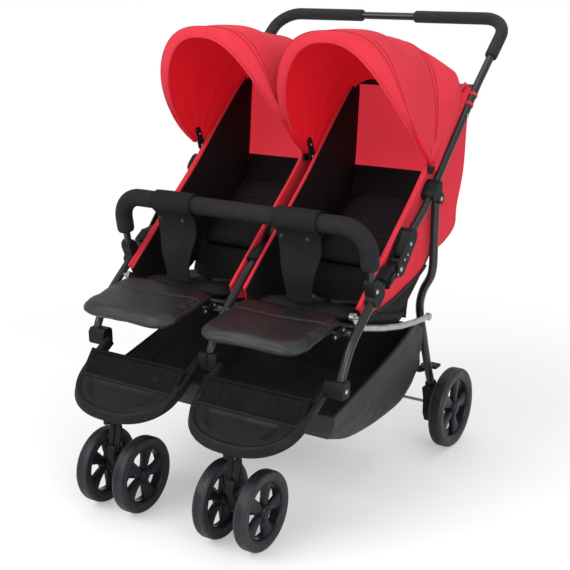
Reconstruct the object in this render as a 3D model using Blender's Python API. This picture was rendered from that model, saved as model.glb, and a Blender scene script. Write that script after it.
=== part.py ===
"""Side by side double stroller, modelled as separate pieces. Metres, +Z up, front towards -Y.

Places are measured across from the middle (X), back from the front caster stems (Y) and
up from the floor (Z). The whole model hangs from one empty that centres it over the origin.
Left and right are those of someone who faces the front of the stroller.
"""
import math

import bmesh
import bpy
from mathutils import Matrix, Vector

# Driving sizes
CLEAR = 0.0003  # gap between pieces that seat on each other
RUNNING = 0.0005  # gap between pieces that turn or slide past each other
SIDE_X = 0.335  # outer side tubes, from the middle
CASTER_X = 0.163  # caster stems, from the middle
SEAT_X = 0.1675  # middle of each seat and canopy
TUBE_R = 0.0095  # side tubes
LEG_R = 0.0100  # rear leg tubes
CROSS_R = 0.0080  # cross tubes
BAR_R = 0.0085  # bumper bar tube
GRIP_R = 0.0155  # foam on the handle
PAD_R = 0.0210  # padding on the bumper bar
CENTRE_Y = 0.4655  # middle of the length, from the caster stems

# Places in the side view, as (Y, Z)
FOLD_HINGE = (0.388, 0.548)
SEAT_HINGE = (0.245, 0.4715)
LEG_HINGE = (0.584, 0.668)
LINK_END = (0.618, 0.366)
CANOPY_HINGE = (0.573, 0.738)
BACK_HINGE = (0.528, 0.492)
CALF_HINGE = (0.213, 0.445)
BRAKE_HINGE = (0.668, 0.205)

# Side tubes
LOWER_TUBE = [(0.148, 0.352), (0.156, 0.374), (0.185, 0.419), (0.217, 0.449), (0.300, 0.512), (0.344, 0.541)]
UPPER_TUBE = [(0.437, 0.600), (0.531, 0.660), (0.620, 0.741), (0.739, 0.849), (0.801, 0.906)]
HANDLE_TOP = (0.980, 1.048)  # where the sides would meet the crossbar
HANDLE_BEND = 0.062
CENTRE_TOP = (0.792, 0.898)
LATCH_HALF = 0.0150  # half the width of the fold latches
CATCH_THICK = 0.0030
GRIP_GAP = 0.0775  # half the bare middle of the handle
GRIP_FOOT = 0.135  # foam length down each side, from the corner

# Wheels
FRONT_WHEEL_R = 0.089
FRONT_WHEEL_W = 0.030
FRONT_WHEEL_PITCH = 0.105
TRAIL = 0.024
REAR_WHEEL_R = 0.102
REAR_WHEEL_W = 0.035
REAR_WHEEL_Y = 0.711
TYRE_SHARE = 0.235  # height of the tyre, as a share of its radius
SPOKES = 5
AXLE_R = 0.0040
HUB_R = 0.0160

# Casters and footrests
STEM_R = 0.0150
STEM_Z = 0.2235
FOOTREST_HALF = 0.146
FOOTREST_NOSE = (-0.022, 0.238)
FOOTREST_ARM = (0.148, 0.337)
RIM_WIDTH = 0.020
RIM_TALL = 0.026
STEP_Y = 0.046
STEP_Z = 0.287
KICK_TOP = (0.086, 0.337)

# Bumper bar
BAR_TOP = (0.258, 0.664)
BAR_FOOT = (0.281, 0.524)
BAR_BEND = 0.060
PAD_FOOT = 0.092  # padding on each arm, from the corner

# Crotch straps
STRAP_WIDE = 0.1080  # round the bar
STRAP_LOW = 0.0660  # from a little below the bar
STRAP_THICK = 0.0030
STRAP_TURNS = 12

# Seats
SEAT_HALF = 0.1320
SEAT_FRONT = (0.262, 0.460)
SEAT_DEPTH = 0.235
SEAT_DROP = math.radians(-15.0)
SEAT_THICK = 0.026
BACK_THICK = 0.026
BACK_HALF = 0.1430
BACK_LENGTH = 0.250
BACK_TILT = math.radians(32.0)  # lying back, above the level
CALF_LENGTH = 0.172
CALF_HALF = 0.1330
CALF_THICK = 0.022
PANEL_X = 0.3170
PANEL_THICK = 0.0036
LINK_X = 0.3090
LINK_W = 0.0090
LINK_H = 0.0150
RAIL_R = 0.0055
PIN_R = 0.0040

# Canopies
CANOPY_HALF = 0.1645
CANOPY_FRONT_ANGLE = math.radians(122.0)
CANOPY_SPLIT_ANGLE = math.radians(90.0)
CANOPY_REAR_ANGLE = math.radians(39.0)
CANOPY_LAP = math.radians(3.0)
CANOPY_FRONT_REACH = 0.360
CANOPY_REAR_REACH = 0.281
CANOPY_SPLIT_REACH = 0.288
CANOPY_SKIN = 0.0025
CANOPY_NEST = 0.0074
CANOPY_BULGE = 0.040
CANOPY_FOOT = 0.034
CANOPY_HUB_R = 0.0130

# Rear legs and brakes
LEG_LOW_X = 0.2880
LEG_PATH = [(0.584, 0.668), (0.582, 0.569), (0.578, 0.492), (0.593, 0.438), (0.613, 0.385),
            (0.636, 0.310), (0.662, 0.232), (REAR_WHEEL_Y - 0.017, REAR_WHEEL_R + 0.050)]
BRAKE_HOUSING = (0.024, 0.050, 0.046)  # half width in Y, height over and under the axle
BRAKE_X = 0.2850
PEDAL_REACH = 0.060  # from the rod of the foot brake to the pedals
BRAKE_W = 0.0340

SIDES = {"left": -1, "right": 1}

# Colours, roughness and metallic values
FINISHES = {
    "frame_enamel": ((0.020, 0.021, 0.023), 0.32, 0.6),
    "steel": ((0.62, 0.62, 0.60), 0.30, 1.0),
    "black_plastic": ((0.018, 0.018, 0.020), 0.45, 0.0),
    "foam": ((0.016, 0.016, 0.018), 0.85, 0.0),
    "red_fabric": ((0.70, 0.020, 0.040), 0.80, 0.0),
    "black_fabric": ((0.013, 0.013, 0.016), 0.85, 0.0),
    "black_leather": ((0.015, 0.015, 0.017), 0.38, 0.0),
    "rim_plastic": ((0.014, 0.014, 0.016), 0.30, 0.0),
    "tyre": ((0.018, 0.019, 0.021), 0.42, 0.0),
}


def clear_scene():
    for old in list(bpy.data.objects):
        bpy.data.objects.remove(old, do_unlink=True)


def finish(name):
    material = bpy.data.materials.get(name)
    if material:
        return material
    colour, roughness, metallic = FINISHES[name]
    material = bpy.data.materials.new(name)
    material.use_nodes = True
    shader = material.node_tree.nodes["Principled BSDF"]
    shader.inputs["Base Color"].default_value = (*colour, 1.0)
    shader.inputs["Roughness"].default_value = roughness
    shader.inputs["Metallic"].default_value = metallic
    material.diffuse_color = (*colour, 1.0)
    return material


# Bodies: each has an empty on its joint's axis, and hangs from the body that carries it.
class Body:
    def __init__(self, name, pivot, parent=None):
        self.pivot = Vector(pivot)
        self.empty = bpy.data.objects.new(name + "_pivot", None)
        bpy.context.scene.collection.objects.link(self.empty)
        if parent is None:
            self.empty.location = (0.0, -CENTRE_Y, 0.0)
        else:
            self.empty.parent = parent.empty
            self.empty.location = self.pivot - parent.pivot

    def add(self, name, shape, material):
        """Turns a bmesh in the model's frame into an object on this body."""
        bmesh.ops.recalc_face_normals(shape, faces=shape.faces)
        mesh = bpy.data.meshes.new(name)
        shape.to_mesh(mesh)
        shape.free()
        mesh.transform(Matrix.Translation(-self.pivot))
        mesh.shade_smooth()
        mesh.set_sharp_from_angle(angle=math.radians(35))
        mesh.materials.append(finish(material))
        piece = bpy.data.objects.new(name, mesh)
        piece.parent = self.empty
        bpy.context.scene.collection.objects.link(piece)
        return piece


# Shapes
def at(x, yz):
    return Vector((x, yz[0], yz[1]))


def smooth_path(points, steps=4):
    """Points along a Catmull-Rom curve through the given ones."""
    points = [Vector(p) for p in points]
    padded = [2 * points[0] - points[1], *points, 2 * points[-1] - points[-2]]
    path = []
    for i in range(1, len(padded) - 2):
        a, b, c, d = padded[i - 1 : i + 3]
        for k in range(steps):
            t = k / steps
            path.append(0.5 * (2 * b + (c - a) * t + (2 * a - 5 * b + 4 * c - d) * t**2
                               + (3 * b - a - 3 * c + d) * t**3))
    path.append(points[-1])
    return path


def rounded(points, radius, steps=6):
    """A polyline with each inner corner turned into an arc of the given radius."""
    points = [Vector(p) for p in points]
    path = [points[0]]
    for before, corner, after in zip(points, points[1:], points[2:]):
        come, go = (before - corner).normalized(), (after - corner).normalized()
        half = come.angle(go) / 2
        if half > math.radians(89):
            path.append(corner)
            continue
        centre = corner + (come + go).normalized() * radius / math.sin(half)
        start = corner + come * radius / math.tan(half) - centre
        turn = math.pi - 2 * half
        axis = come.cross(go).normalized()
        for k in range(steps + 1):
            path.append(centre + Matrix.Rotation(-turn * k / steps, 3, axis) @ start)
    path.append(points[-1])
    return path


def circle(radius, sides, flat=1.0):
    return [(radius * math.cos(2 * math.pi * k / sides), flat * radius * math.sin(2 * math.pi * k / sides))
            for k in range(sides)]


def rounded_box(width, height, corner, steps=2):
    """Section outline of a box with rounded corners, centred on the path."""
    outline = []
    for quarter, (sx, sy) in enumerate([(1, 1), (-1, 1), (-1, -1), (1, -1)]):
        for k in range(steps + 1):
            a = math.pi / 2 * (quarter + k / steps)
            outline.append((sx * (width / 2 - corner) + corner * math.cos(a),
                            sy * (height / 2 - corner) + corner * math.sin(a)))
    return outline


def sweep(path, section, up=(0.0, 0.0, 1.0), sizes=None, widths=None):
    """A closed solid: the section carried along the path, with flat ends.

    Sizes scale the whole section at each point of the path, and widths only its first direction.
    """
    path = [Vector(p) for p in path]
    shape = bmesh.new()
    rings = []
    side = None
    for i, point in enumerate(path):
        ahead = path[min(i + 1, len(path) - 1)] - point
        behind = point - path[max(i - 1, 0)]
        along = (ahead.normalized() + behind.normalized()).normalized()
        if side is None:
            side = along.cross(Vector(up)).normalized()
        side = (side - along * side.dot(along)).normalized()
        over = side.cross(along)
        tall = sizes[i] if sizes else 1.0
        wide = widths[i] if widths else tall
        rings.append([shape.verts.new(point + side * u * wide + over * v * tall) for u, v in section])
    count = len(section)
    for low, high in zip(rings, rings[1:]):
        for k in range(count):
            shape.faces.new((low[k], low[(k + 1) % count], high[(k + 1) % count], high[k]))
    shape.faces.new(rings[0][::-1])
    shape.faces.new(rings[-1])
    bmesh.ops.recalc_face_normals(shape, faces=shape.faces)
    return shape


def tube(path, radius, sides=10, up=(0.0, 0.0, 1.0)):
    return sweep(path, circle(radius, sides), up)


def roomy(radius, gap, sides):
    """Radius of a bore with flat sides, so that they keep the gap to a round piece."""
    return (radius + gap) / math.cos(math.pi / sides)


def bore_along(x, places, radius, reach=0.0, sides=10):
    """Cutter that follows a tube's own path, carried on past its ends."""
    path = extended(smooth_path([at(x, p) for p in places], 3), reach)
    return tube(path, roomy(radius, CLEAR, sides), sides, (1.0, 0.0, 0.0))


def extended(path, length):
    """The same path with its two ends carried straight on."""
    first = path[0] + (path[0] - path[1]).normalized() * length
    last = path[-1] + (path[-1] - path[-2]).normalized() * length
    return [first, *path[1:-1], last]


def turned(profile, centre, steps=24, axis="X"):
    """A solid of revolution. The profile is (along the axis, radius), from end to end."""
    frame = Matrix.Identity(3)
    if axis == "X":
        frame = Matrix(((1, 0, 0), (0, 1, 0), (0, 0, 1)))
    elif axis == "Z":
        frame = Matrix(((0, 0, -1), (0, 1, 0), (1, 0, 0)))
    shape = bmesh.new()
    centre = Vector(centre)
    rings = []
    for along, radius in profile:
        if radius < 1e-7:
            rings.append([shape.verts.new(centre + frame @ Vector((along, 0, 0)))])
            continue
        turns = [2 * math.pi * k / steps for k in range(steps)]
        rings.append([shape.verts.new(centre + frame
                                      @ Vector((along, radius * math.cos(a), radius * math.sin(a))))
                      for a in turns])
    closed = len(rings[0]) > 1
    pairs = list(zip(rings, rings[1:] + rings[:1])) if closed else list(zip(rings, rings[1:]))
    for low, high in pairs:
        for k in range(steps):
            n = (k + 1) % steps
            if len(low) == 1:
                shape.faces.new((low[0], high[n], high[k]))
            elif len(high) == 1:
                shape.faces.new((low[k], low[n], high[0]))
            else:
                shape.faces.new((low[k], low[n], high[n], high[k]))
    bmesh.ops.recalc_face_normals(shape, faces=shape.faces)
    return shape


def disc(centre, radius, low, high, steps=20, axis="X"):
    return turned([(low, 0.0), (low, radius), (high, radius), (high, 0.0)], centre, steps, axis)


def plate(outline, low, high):
    """A side view outline of (Y, Z) points, extruded along X from low to high."""
    points = [Vector((0.0, y, z)) for y, z in outline]
    shape = bmesh.new()
    near = [shape.verts.new(p + Vector((low, 0, 0))) for p in points]
    far = [shape.verts.new(p + Vector((high, 0, 0))) for p in points]
    shape.faces.new(near)
    shape.faces.new(far[::-1])
    for k in range(len(points)):
        n = (k + 1) % len(points)
        shape.faces.new((near[k], far[k], far[n], near[n]))
    bmesh.ops.recalc_face_normals(shape, faces=shape.faces)
    return shape


def capsule(first, second, radius_one, radius_two=None, steps=4):
    """Outline of (Y, Z) points round two circles, like a link with round ends."""
    radius_two = radius_two or radius_one
    first, second = Vector(first), Vector(second)
    ahead = math.atan2((second - first).y, (second - first).x)
    outline = []
    ends = ((second, radius_two, ahead - math.pi / 2), (first, radius_one, ahead + math.pi / 2))
    for centre, radius, start in ends:
        for k in range(steps + 1):
            a = start + math.pi * k / steps
            outline.append((centre.x + radius * math.cos(a), centre.y + radius * math.sin(a)))
    return outline


def block(low, high):
    shape = bmesh.new()
    bmesh.ops.create_cube(shape, size=1.0)
    low, high = Vector(low), Vector(high)
    for vert in shape.verts:
        vert.co = Vector((vert.co[i] + 0.5) * (high[i] - low[i]) + low[i] for i in range(3))
    return shape


def boolean(base, tools, operation):
    """Joins closed shapes to the base, or cuts them from it, and gives back one shape."""
    holders = []
    for index, shape in enumerate([base, *tools]):
        bmesh.ops.recalc_face_normals(shape, faces=shape.faces)
        mesh = bpy.data.meshes.new("boolean_%d" % index)
        shape.to_mesh(mesh)
        shape.free()
        holder = bpy.data.objects.new("boolean_%d" % index, mesh)
        bpy.context.scene.collection.objects.link(holder)
        holders.append(holder)
    for holder in holders[1:]:
        modifier = holders[0].modifiers.new("boolean", "BOOLEAN")
        modifier.operation = operation
        modifier.object = holder
    graph = bpy.context.evaluated_depsgraph_get()
    evaluated = holders[0].evaluated_get(graph)
    result = bmesh.new()
    result.from_mesh(evaluated.to_mesh())
    evaluated.to_mesh_clear()
    for holder in holders:
        mesh = holder.data
        bpy.data.objects.remove(holder, do_unlink=True)
        bpy.data.meshes.remove(mesh)
    bmesh.ops.remove_doubles(result, verts=result.verts, dist=1e-6)
    return result


def join(base, *tools):
    return boolean(base, tools, "UNION")


def cut(base, *tools):
    return boolean(base, tools, "DIFFERENCE")


EDGE_SHARE = 0.28  # half the height of a cushion's edge, as a share of its thickness


def cushion(origin, across, along, half_width, length, thick, crown, taper=0.0, channels=(),
            corner=0.045, columns=6, rows=8):
    """A padded panel: crowned faces, drawn-in rounded corners, and sewn channels across it.

    The origin is the middle of its first edge. Across and along are unit vectors, and the
    faces look along their cross product.
    """
    origin, across, along = Vector(origin), Vector(across), Vector(along)
    over = across.cross(along)

    def corner_pull(s, t):
        edge = min(s, 1 - s) * length
        pull = 0.0
        if edge < corner:
            pull = corner - math.sqrt(max(corner**2 - (corner - edge) ** 2, 0.0))
        return max(0.0, 1.0 - pull / half_width)

    def place(i, j, side):
        s = i / rows
        t = 2.0 * j / columns - 1.0
        width = half_width * (1.0 + taper * s) * corner_pull(min(max(s, 0.0), 1.0), t)
        puff = (1.0 - t**4) * (1.0 - (2 * s - 1) ** 6)
        height = thick * (EDGE_SHARE + 0.22 * puff) + crown * puff * (1 - t * t)
        for channel in channels:
            height -= 0.30 * thick * math.exp(-(((s - channel) * rows) ** 2) * 1.6) * (1 - t**6)
        back = -thick * (EDGE_SHARE + 0.22 * puff)
        return origin + along * s * length + across * t * width + over * (height if side else back)

    shape = bmesh.new()
    grids = []
    for side in (True, False):
        grids.append([[shape.verts.new(place(i, j, side)) for j in range(columns + 1)]
                      for i in range(rows + 1)])
    top, bottom = grids
    for i in range(rows):
        for j in range(columns):
            shape.faces.new((top[i][j], top[i][j + 1], top[i + 1][j + 1], top[i + 1][j]))
            shape.faces.new((bottom[i][j], bottom[i + 1][j], bottom[i + 1][j + 1], bottom[i][j + 1]))
    for j in range(columns):
        shape.faces.new((bottom[0][j], bottom[0][j + 1], top[0][j + 1], top[0][j]))
        shape.faces.new((top[rows][j], top[rows][j + 1], bottom[rows][j + 1], bottom[rows][j]))
    for i in range(rows):
        shape.faces.new((top[i][0], top[i + 1][0], bottom[i + 1][0], bottom[i][0]))
        shape.faces.new((bottom[i][columns], bottom[i + 1][columns], top[i + 1][columns], top[i][columns]))
    bmesh.ops.triangulate(shape, faces=shape.faces)
    bmesh.ops.recalc_face_normals(shape, faces=shape.faces)
    return shape


# Frame
def handle_path():
    side = smooth_path([at(SIDE_X, p) for p in UPPER_TUBE], 3)
    corner = at(SIDE_X, HANDLE_TOP)
    opposite = [Vector((-p.x, p.y, p.z)) for p in side]
    bend = rounded([side[-1], corner, Vector((-corner.x, corner.y, corner.z)), opposite[-1]], HANDLE_BEND, 6)
    return side[:-1] + bend + opposite[-2::-1]


def grip_path(sign):
    """The grip starts beside the bare middle, goes round the corner and ends down the side."""
    corner = at(sign * SIDE_X, HANDLE_TOP)
    down = (at(sign * SIDE_X, UPPER_TUBE[-1]) - corner).normalized()
    return rounded([Vector((sign * GRIP_GAP, corner.y, corner.z)), corner, corner + down * GRIP_FOOT],
                   HANDLE_BEND, 6)


def latch_upper(x):
    """Two cheeks and a core that take the upper tube's end and straddle the lower tongue."""
    hinge, tube_end = FOLD_HINGE, UPPER_TUBE[0]
    tongue_half = TUBE_R
    along = (Vector(tube_end) - Vector(hinge)).normalized()
    outline = capsule(hinge, Vector(tube_end) + along * 0.012, 0.0185, 0.0190)
    core_start = Vector(hinge) + along * 0.0245
    core = capsule(core_start + along * 0.012, Vector(tube_end) + along * 0.014, 0.0120, 0.0165)
    shape = join(
        plate(core, x - tongue_half - RUNNING - 0.001, x + tongue_half + RUNNING + 0.001),
        plate(outline, x - LATCH_HALF, x - tongue_half - RUNNING),
        plate(outline, x + tongue_half + RUNNING, x + LATCH_HALF),
    )
    return cut(shape, bore_along(x, UPPER_TUBE, TUBE_R, CLEAR))


def latch_lower(x):
    """The tongue: a round eye on the hinge and a socket round the lower tube's end."""
    hinge, tube_end = Vector(FOLD_HINGE), Vector(LOWER_TUBE[-1])
    back = (Vector(LOWER_TUBE[-2]) - tube_end).normalized()
    half = TUBE_R
    tongue = plate(capsule(tube_end - back * 0.006, hinge, 0.0165, 0.0165), x - half, x + half)
    sleeve = sweep([at(x, tube_end - back * 0.012), at(x, tube_end + back * 0.022)],
                   rounded_box(0.0330, 2 * LATCH_HALF, 0.006), (1.0, 0.0, 0.0))
    eye_clear = disc(at(x, hinge), 0.0190, half, half + 0.02)
    eye_clear_far = disc(at(x, hinge), 0.0190, -half - 0.02, -half)
    shape = cut(join(tongue, sleeve), eye_clear, eye_clear_far)
    return cut(shape, bore_along(x, LOWER_TUBE, TUBE_R, CLEAR))


def lower_tube(x):
    return tube(smooth_path([at(x, p) for p in LOWER_TUBE], 3), TUBE_R, 8, (1.0, 0.0, 0.0))


def front_centre_frame():
    """The middle leg with the two cross tubes that carry the calf rests, welded together."""
    leg = lower_tube(0.0)
    cross = tube([(-(SIDE_X - TUBE_R - CLEAR), *CALF_HINGE), (SIDE_X - TUBE_R - CLEAR, *CALF_HINGE)], CROSS_R)
    return join(leg, cross)


def centre_upper_frame():
    """The middle upper tube with the cross tube behind the canopies, welded together."""
    path = smooth_path([at(0.0, p) for p in UPPER_TUBE[:-1]] + [at(0.0, CENTRE_TOP)], 3)
    reach = SIDE_X - TUBE_R - CLEAR
    cross = tube([(-reach, *CENTRE_TOP), (reach, *CENTRE_TOP)], CROSS_R)
    return join(tube(path, TUBE_R, 8, (1.0, 0.0, 0.0)), cross)


def leg_bracket(x):
    """A clamp round the upper tube with two ears that hold the rear leg's top."""
    hinge = Vector(LEG_HINGE)
    low, high = Vector(UPPER_TUBE[1]), Vector(UPPER_TUBE[2])
    along = (high - low).normalized()
    middle = low + along * (hinge - low).dot(along)
    wide = LEG_R + RUNNING + 0.0052
    clamp = plate(capsule(middle - along * 0.013, middle + along * 0.013, 0.0145), x - wide, x + wide)
    ear = capsule(hinge, middle, 0.0135, 0.0145)
    inner = LEG_R + RUNNING
    ears = [plate(ear, x + sign * inner, x + sign * (inner + 0.0055)) for sign in (-1, 1)]
    return cut(join(clamp, *ears), bore_along(x, UPPER_TUBE, TUBE_R))


def bar_path():
    foot, corner = at(SIDE_X, BAR_FOOT), at(SIDE_X, BAR_TOP)
    points = [foot, corner, Vector((-corner.x, corner.y, corner.z)), Vector((-foot.x, foot.y, foot.z))]
    return rounded(points, BAR_BEND, 6)


def pad_path():
    corner = at(SIDE_X, BAR_TOP)
    foot = corner + (at(SIDE_X, BAR_FOOT) - corner).normalized() * PAD_FOOT
    points = [foot, corner, Vector((-corner.x, corner.y, corner.z)), Vector((-foot.x, foot.y, foot.z))]
    return rounded(points, BAR_BEND, 6)


def bumper_socket(x):
    """A plastic clamp on the side tube with an upright socket for the bar's end."""
    foot = Vector(BAR_FOOT)
    up = (Vector(BAR_TOP) - foot).normalized()
    low, high = Vector(LOWER_TUBE[3]), Vector(LOWER_TUBE[4])
    along = (high - low).normalized()
    middle = low + along * (foot - low).dot(along)
    wide = TUBE_R + 0.0035
    body = plate(capsule(middle, foot + up * 0.014, 0.0150, 0.0135), x - wide, x + wide)
    saddle = plate(capsule(middle - along * 0.010, middle + along * 0.010, 0.0150), x - wide, x + wide)
    bar_bore = tube([at(x, foot - up * CLEAR), at(x, foot + up * 0.05)], roomy(BAR_R, CLEAR, 10), 10,
                    (1.0, 0.0, 0.0))
    return cut(join(body, saddle), bore_along(x, LOWER_TUBE, TUBE_R), bar_bore)


# Footrests and casters
def footrest_rim_path(x):
    """The curved rim: down one arm, round the nose and up the other arm."""
    nose, arm = Vector(FOOTREST_NOSE), Vector(FOOTREST_ARM)
    path = []
    steps = 12
    for k in range(steps + 1):
        a = math.pi * k / steps
        reach = math.sin(a) ** 0.62
        across = -math.cos(a) * (1.0 - 0.10 * math.cos(a) ** 8)
        side = math.copysign(abs(across) ** 0.82, across) * FOOTREST_HALF
        point = arm.lerp(nose, reach)
        path.append(Vector((x + side, point.x, point.y)))
    return path


def footrest(x, outer):
    """Moulded footrest: rim, sloping tread, ribbed step, kick panel, ears and caster boss."""
    sign = outer
    rim = sweep(footrest_rim_path(x), rounded_box(RIM_WIDTH, RIM_TALL, 0.006, 1), (0.0, 0.35, 1.0))
    tread_outline = []
    for point in footrest_rim_path(x):
        if point.y < STEP_Y:
            tread_outline.append(point)
    half = max(abs(p.x - x) for p in tread_outline)
    tread = bmesh.new()
    rows = [[], []]
    for level, drop in enumerate((0.0, -0.0060)):
        for p in tread_outline:
            share = (STEP_Y - p.y) / (STEP_Y - FOOTREST_NOSE[0])
            z = STEP_Z + (FOOTREST_NOSE[1] + 0.006 - STEP_Z) * share + drop
            rows[level].append(tread.verts.new((x + (p.x - x) * 0.985, p.y, z)))
        for s in (1, -1):
            rows[level].append(tread.verts.new((x + s * half * 0.985, STEP_Y + 0.004, STEP_Z + drop)))
    tread.faces.new(rows[0])
    tread.faces.new(rows[1][::-1])
    for k in range(len(rows[0])):
        n = (k + 1) % len(rows[0])
        tread.faces.new((rows[0][k], rows[1][k], rows[1][n], rows[0][n]))
    kick_half = FOOTREST_HALF * 0.93
    up = (Vector(KICK_TOP) - Vector((STEP_Y, STEP_Z))).normalized()
    out = Vector((-up.y, up.x))
    foot = Vector((STEP_Y, STEP_Z)) - out * 0.003
    corners = [foot, foot + up * 0.067, foot + up * 0.067 - out * 0.005, foot - out * 0.005 - up * 0.004]
    kick = plate([tuple(c) for c in corners], x - kick_half, x + kick_half)
    ridge_outline = [(-0.004, -0.003), (-0.004, 0.004), (0.003, 0.007), (0.007, 0.003), (0.007, -0.003)]
    ridge = plate([(STEP_Y + y, STEP_Z + z) for y, z in ridge_outline], x - half, x + half)
    arm = FOOTREST_ARM
    leg_end = LOWER_TUBE[0]
    ear_top = leg_end[1] + 0.013
    shapes = [tread, kick, ridge]
    for side in (-1, 1):
        leg_x = SIDE_X * outer if side == sign else 0.0
        if side == sign:
            low_x, high_x = sorted((x + side * (FOOTREST_HALF - 0.008), leg_x + side * 0.0140))
        else:
            low_x, high_x = sorted((x + side * (FOOTREST_HALF - 0.008), outer * CLEAR))
        shapes.append(block((low_x, arm[0] - 0.016, arm[1] - 0.012), (high_x, arm[0] + 0.019, ear_top)))
    shapes.append(disc((x, 0.0, 0.0), STEM_R + 0.002, STEM_Z + RUNNING, STEP_Z - 0.022, 20, "Z"))
    shapes.append(disc((x, -0.0235, 0.0), 0.0070, STEM_Z - 0.006, STEP_Z - 0.030, 12, "Z"))
    whole = join(rim, *shapes)
    return cut(whole, *[bore_along(tube_x, LOWER_TUBE, TUBE_R, CLEAR) for tube_x in (sign * SIDE_X, 0.0)])


def caster_fork(x):
    """Swivel disc, two curved struts, neck, cradle and the barrel that holds the axle."""
    axle = Vector((x, TRAIL, FRONT_WHEEL_R))
    inner = (FRONT_WHEEL_PITCH - FRONT_WHEEL_W) / 2
    top = disc((x, 0.0, 0.0), STEM_R, STEM_Z - 0.009, STEM_Z, 12, "Z")
    barrel = turned([(-inner + 0.0035, 0.0), (-inner + 0.0035, 0.0150), (-0.020, 0.0185), (0.020, 0.0185),
                     (inner - 0.0035, 0.0150), (inner - 0.0035, 0.0)], axle, 12)
    pin_reach = FRONT_WHEEL_PITCH / 2 + FRONT_WHEEL_W / 2 - 0.006
    pin = disc(axle, AXLE_R, -pin_reach, pin_reach, 8)
    neck_path = smooth_path([(x, 0.000, 0.156), (x, -0.004, 0.142), (x, 0.004, 0.122), tuple(axle)], 2)
    neck = sweep(neck_path, rounded_box(0.034, 0.026, 0.008, 1), (1.0, 0.0, 0.0))
    struts = []
    for sign in (-1, 1):
        route = smooth_path([(x + sign * 0.0085, 0.003, STEM_Z - 0.004), (x + sign * 0.0100, 0.006, 0.195),
                             (x + sign * 0.0095, 0.000, 0.172), (x + sign * 0.0085, -0.004, 0.148)], 2)
        struts.append(tube(route, 0.0048, 6))
    cradle = []
    for k in range(6):
        a = math.pi * (1.0 + k / 5)
        cradle.append((x + 0.0290 * math.cos(a), -0.006 + 0.002 * math.sin(a), 0.158 + 0.0300 * math.sin(a)))
    saddle = sweep(cradle, rounded_box(0.013, 0.010, 0.003, 1), (0.0, 1.0, 0.0))
    return join(barrel, pin, neck, top, *struts, saddle)


def wheel_rim(centre, radius, width, hub_out, hub_in, sign):
    """Hub with a blind bore, five paddle spokes and the outer ring."""
    ring_r = radius * (1.0 - TYRE_SHARE)
    wall = 0.0065
    ring_half = width * 0.40
    ring = turned([(-ring_half, ring_r - wall), (-ring_half, ring_r - CLEAR), (ring_half, ring_r - CLEAR),
                   (ring_half, ring_r - wall)], centre, 24)
    bore_end = sign * (hub_out - 0.0045)
    hub = turned([(bore_end, 0.0), (bore_end, AXLE_R + RUNNING), (-sign * hub_in, AXLE_R + RUNNING),
                  (-sign * hub_in, HUB_R * 0.75), (-sign * width * 0.30, HUB_R), (sign * width * 0.30, HUB_R),
                  (sign * hub_out, HUB_R * 0.72), (sign * (hub_out + 0.002), 0.0)], centre, 10)
    spokes = []
    for k in range(SPOKES):
        turn = Matrix.Rotation(2 * math.pi * k / SPOKES, 3, "X")
        route = [Vector(centre) + turn @ Vector((0, 0, HUB_R * 0.7)),
                 Vector(centre) + turn @ Vector((0, 0, ring_r - wall * 0.5))]
        half, deep = 0.0082, width * 0.23
        section = [(half, deep), (-half, deep), (-half, -deep), (half, -deep)]
        spokes.append(sweep(route, section, turn @ Vector((0, 1, 0)), [0.80, 1.30]))
    return join(ring, hub, *spokes)


def tyre(centre, radius, width, steps=24):
    inner = radius * (1.0 - TYRE_SHARE)
    half = width / 2
    shoulder = radius - width * 0.26
    tread = radius - 0.0006
    profile = [(-half * 0.84, inner), (-half, shoulder), (-half * 0.50, tread),
               (half * 0.50, tread), (half, shoulder), (half * 0.84, inner)]
    return turned(profile, centre, steps)


# Seats
def under_seat(y):
    """Height just under the seat cushion."""
    return SEAT_FRONT[1] + (y - SEAT_FRONT[0]) * math.tan(SEAT_DROP) - SEAT_THICK / 2 / math.cos(SEAT_DROP)


def seat_frame():
    """Side bars under the seats, with two cross rails and the pins at the front, welded together."""
    front, rear = Vector(SEAT_HINGE), Vector(LINK_END)
    rail_y = (SEAT_FRONT[0] + 0.038, SEAT_FRONT[0] + SEAT_DEPTH - 0.022)
    rails = [Vector((y, under_seat(y) - CLEAR - RAIL_R)) for y in rail_y]
    shapes = []
    for rail in rails:
        shapes.append(tube([at(-LINK_X, rail), at(LINK_X, rail)], RAIL_R, 8))
    for sign in (-1, 1):
        x = sign * LINK_X
        places = [front, *rails, rear]
        path = smooth_path([at(x, p) for p in places], 2)
        shapes.append(sweep(path, rounded_box(LINK_W, LINK_H, 0.003, 1)))
        for end in (front, rear):
            shapes.append(disc(at(x, end), LINK_H * 0.62, -LINK_W / 2 - 0.0008, LINK_W / 2 + 0.0008, 10))
        pin_end = sign * (SIDE_X - TUBE_R - RUNNING)
        shapes.append(disc(Vector((0.0, *front)), PIN_R, *sorted((x, pin_end)), 10))
    return join(*shapes)


def seat_base(x):
    along = Vector((0.0, math.cos(SEAT_DROP), math.sin(SEAT_DROP)))
    return cushion(at(x, SEAT_FRONT), (1, 0, 0), along, SEAT_HALF, SEAT_DEPTH, SEAT_THICK, 0.004,
                   channels=(0.35, 0.68))


def backrest(x):
    """Padded board of the back, lying in the pocket of the cloth behind it."""
    along = Vector((0.0, math.cos(BACK_TILT), math.sin(BACK_TILT)))
    return cushion(at(x, BACK_HINGE), (1, 0, 0), along, BACK_HALF, BACK_LENGTH, BACK_THICK, 0.006,
                   channels=(0.36, 0.70), corner=0.05)


def back_rest_edge():
    """Lower edge of the boards' far end, as (Y, Z), which lies against the cloth behind."""
    end = Vector(BACK_HINGE) + Vector((math.cos(BACK_TILT), math.sin(BACK_TILT))) * BACK_LENGTH
    return end + Vector((math.sin(BACK_TILT), -math.cos(BACK_TILT))) * EDGE_SHARE * BACK_THICK


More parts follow.
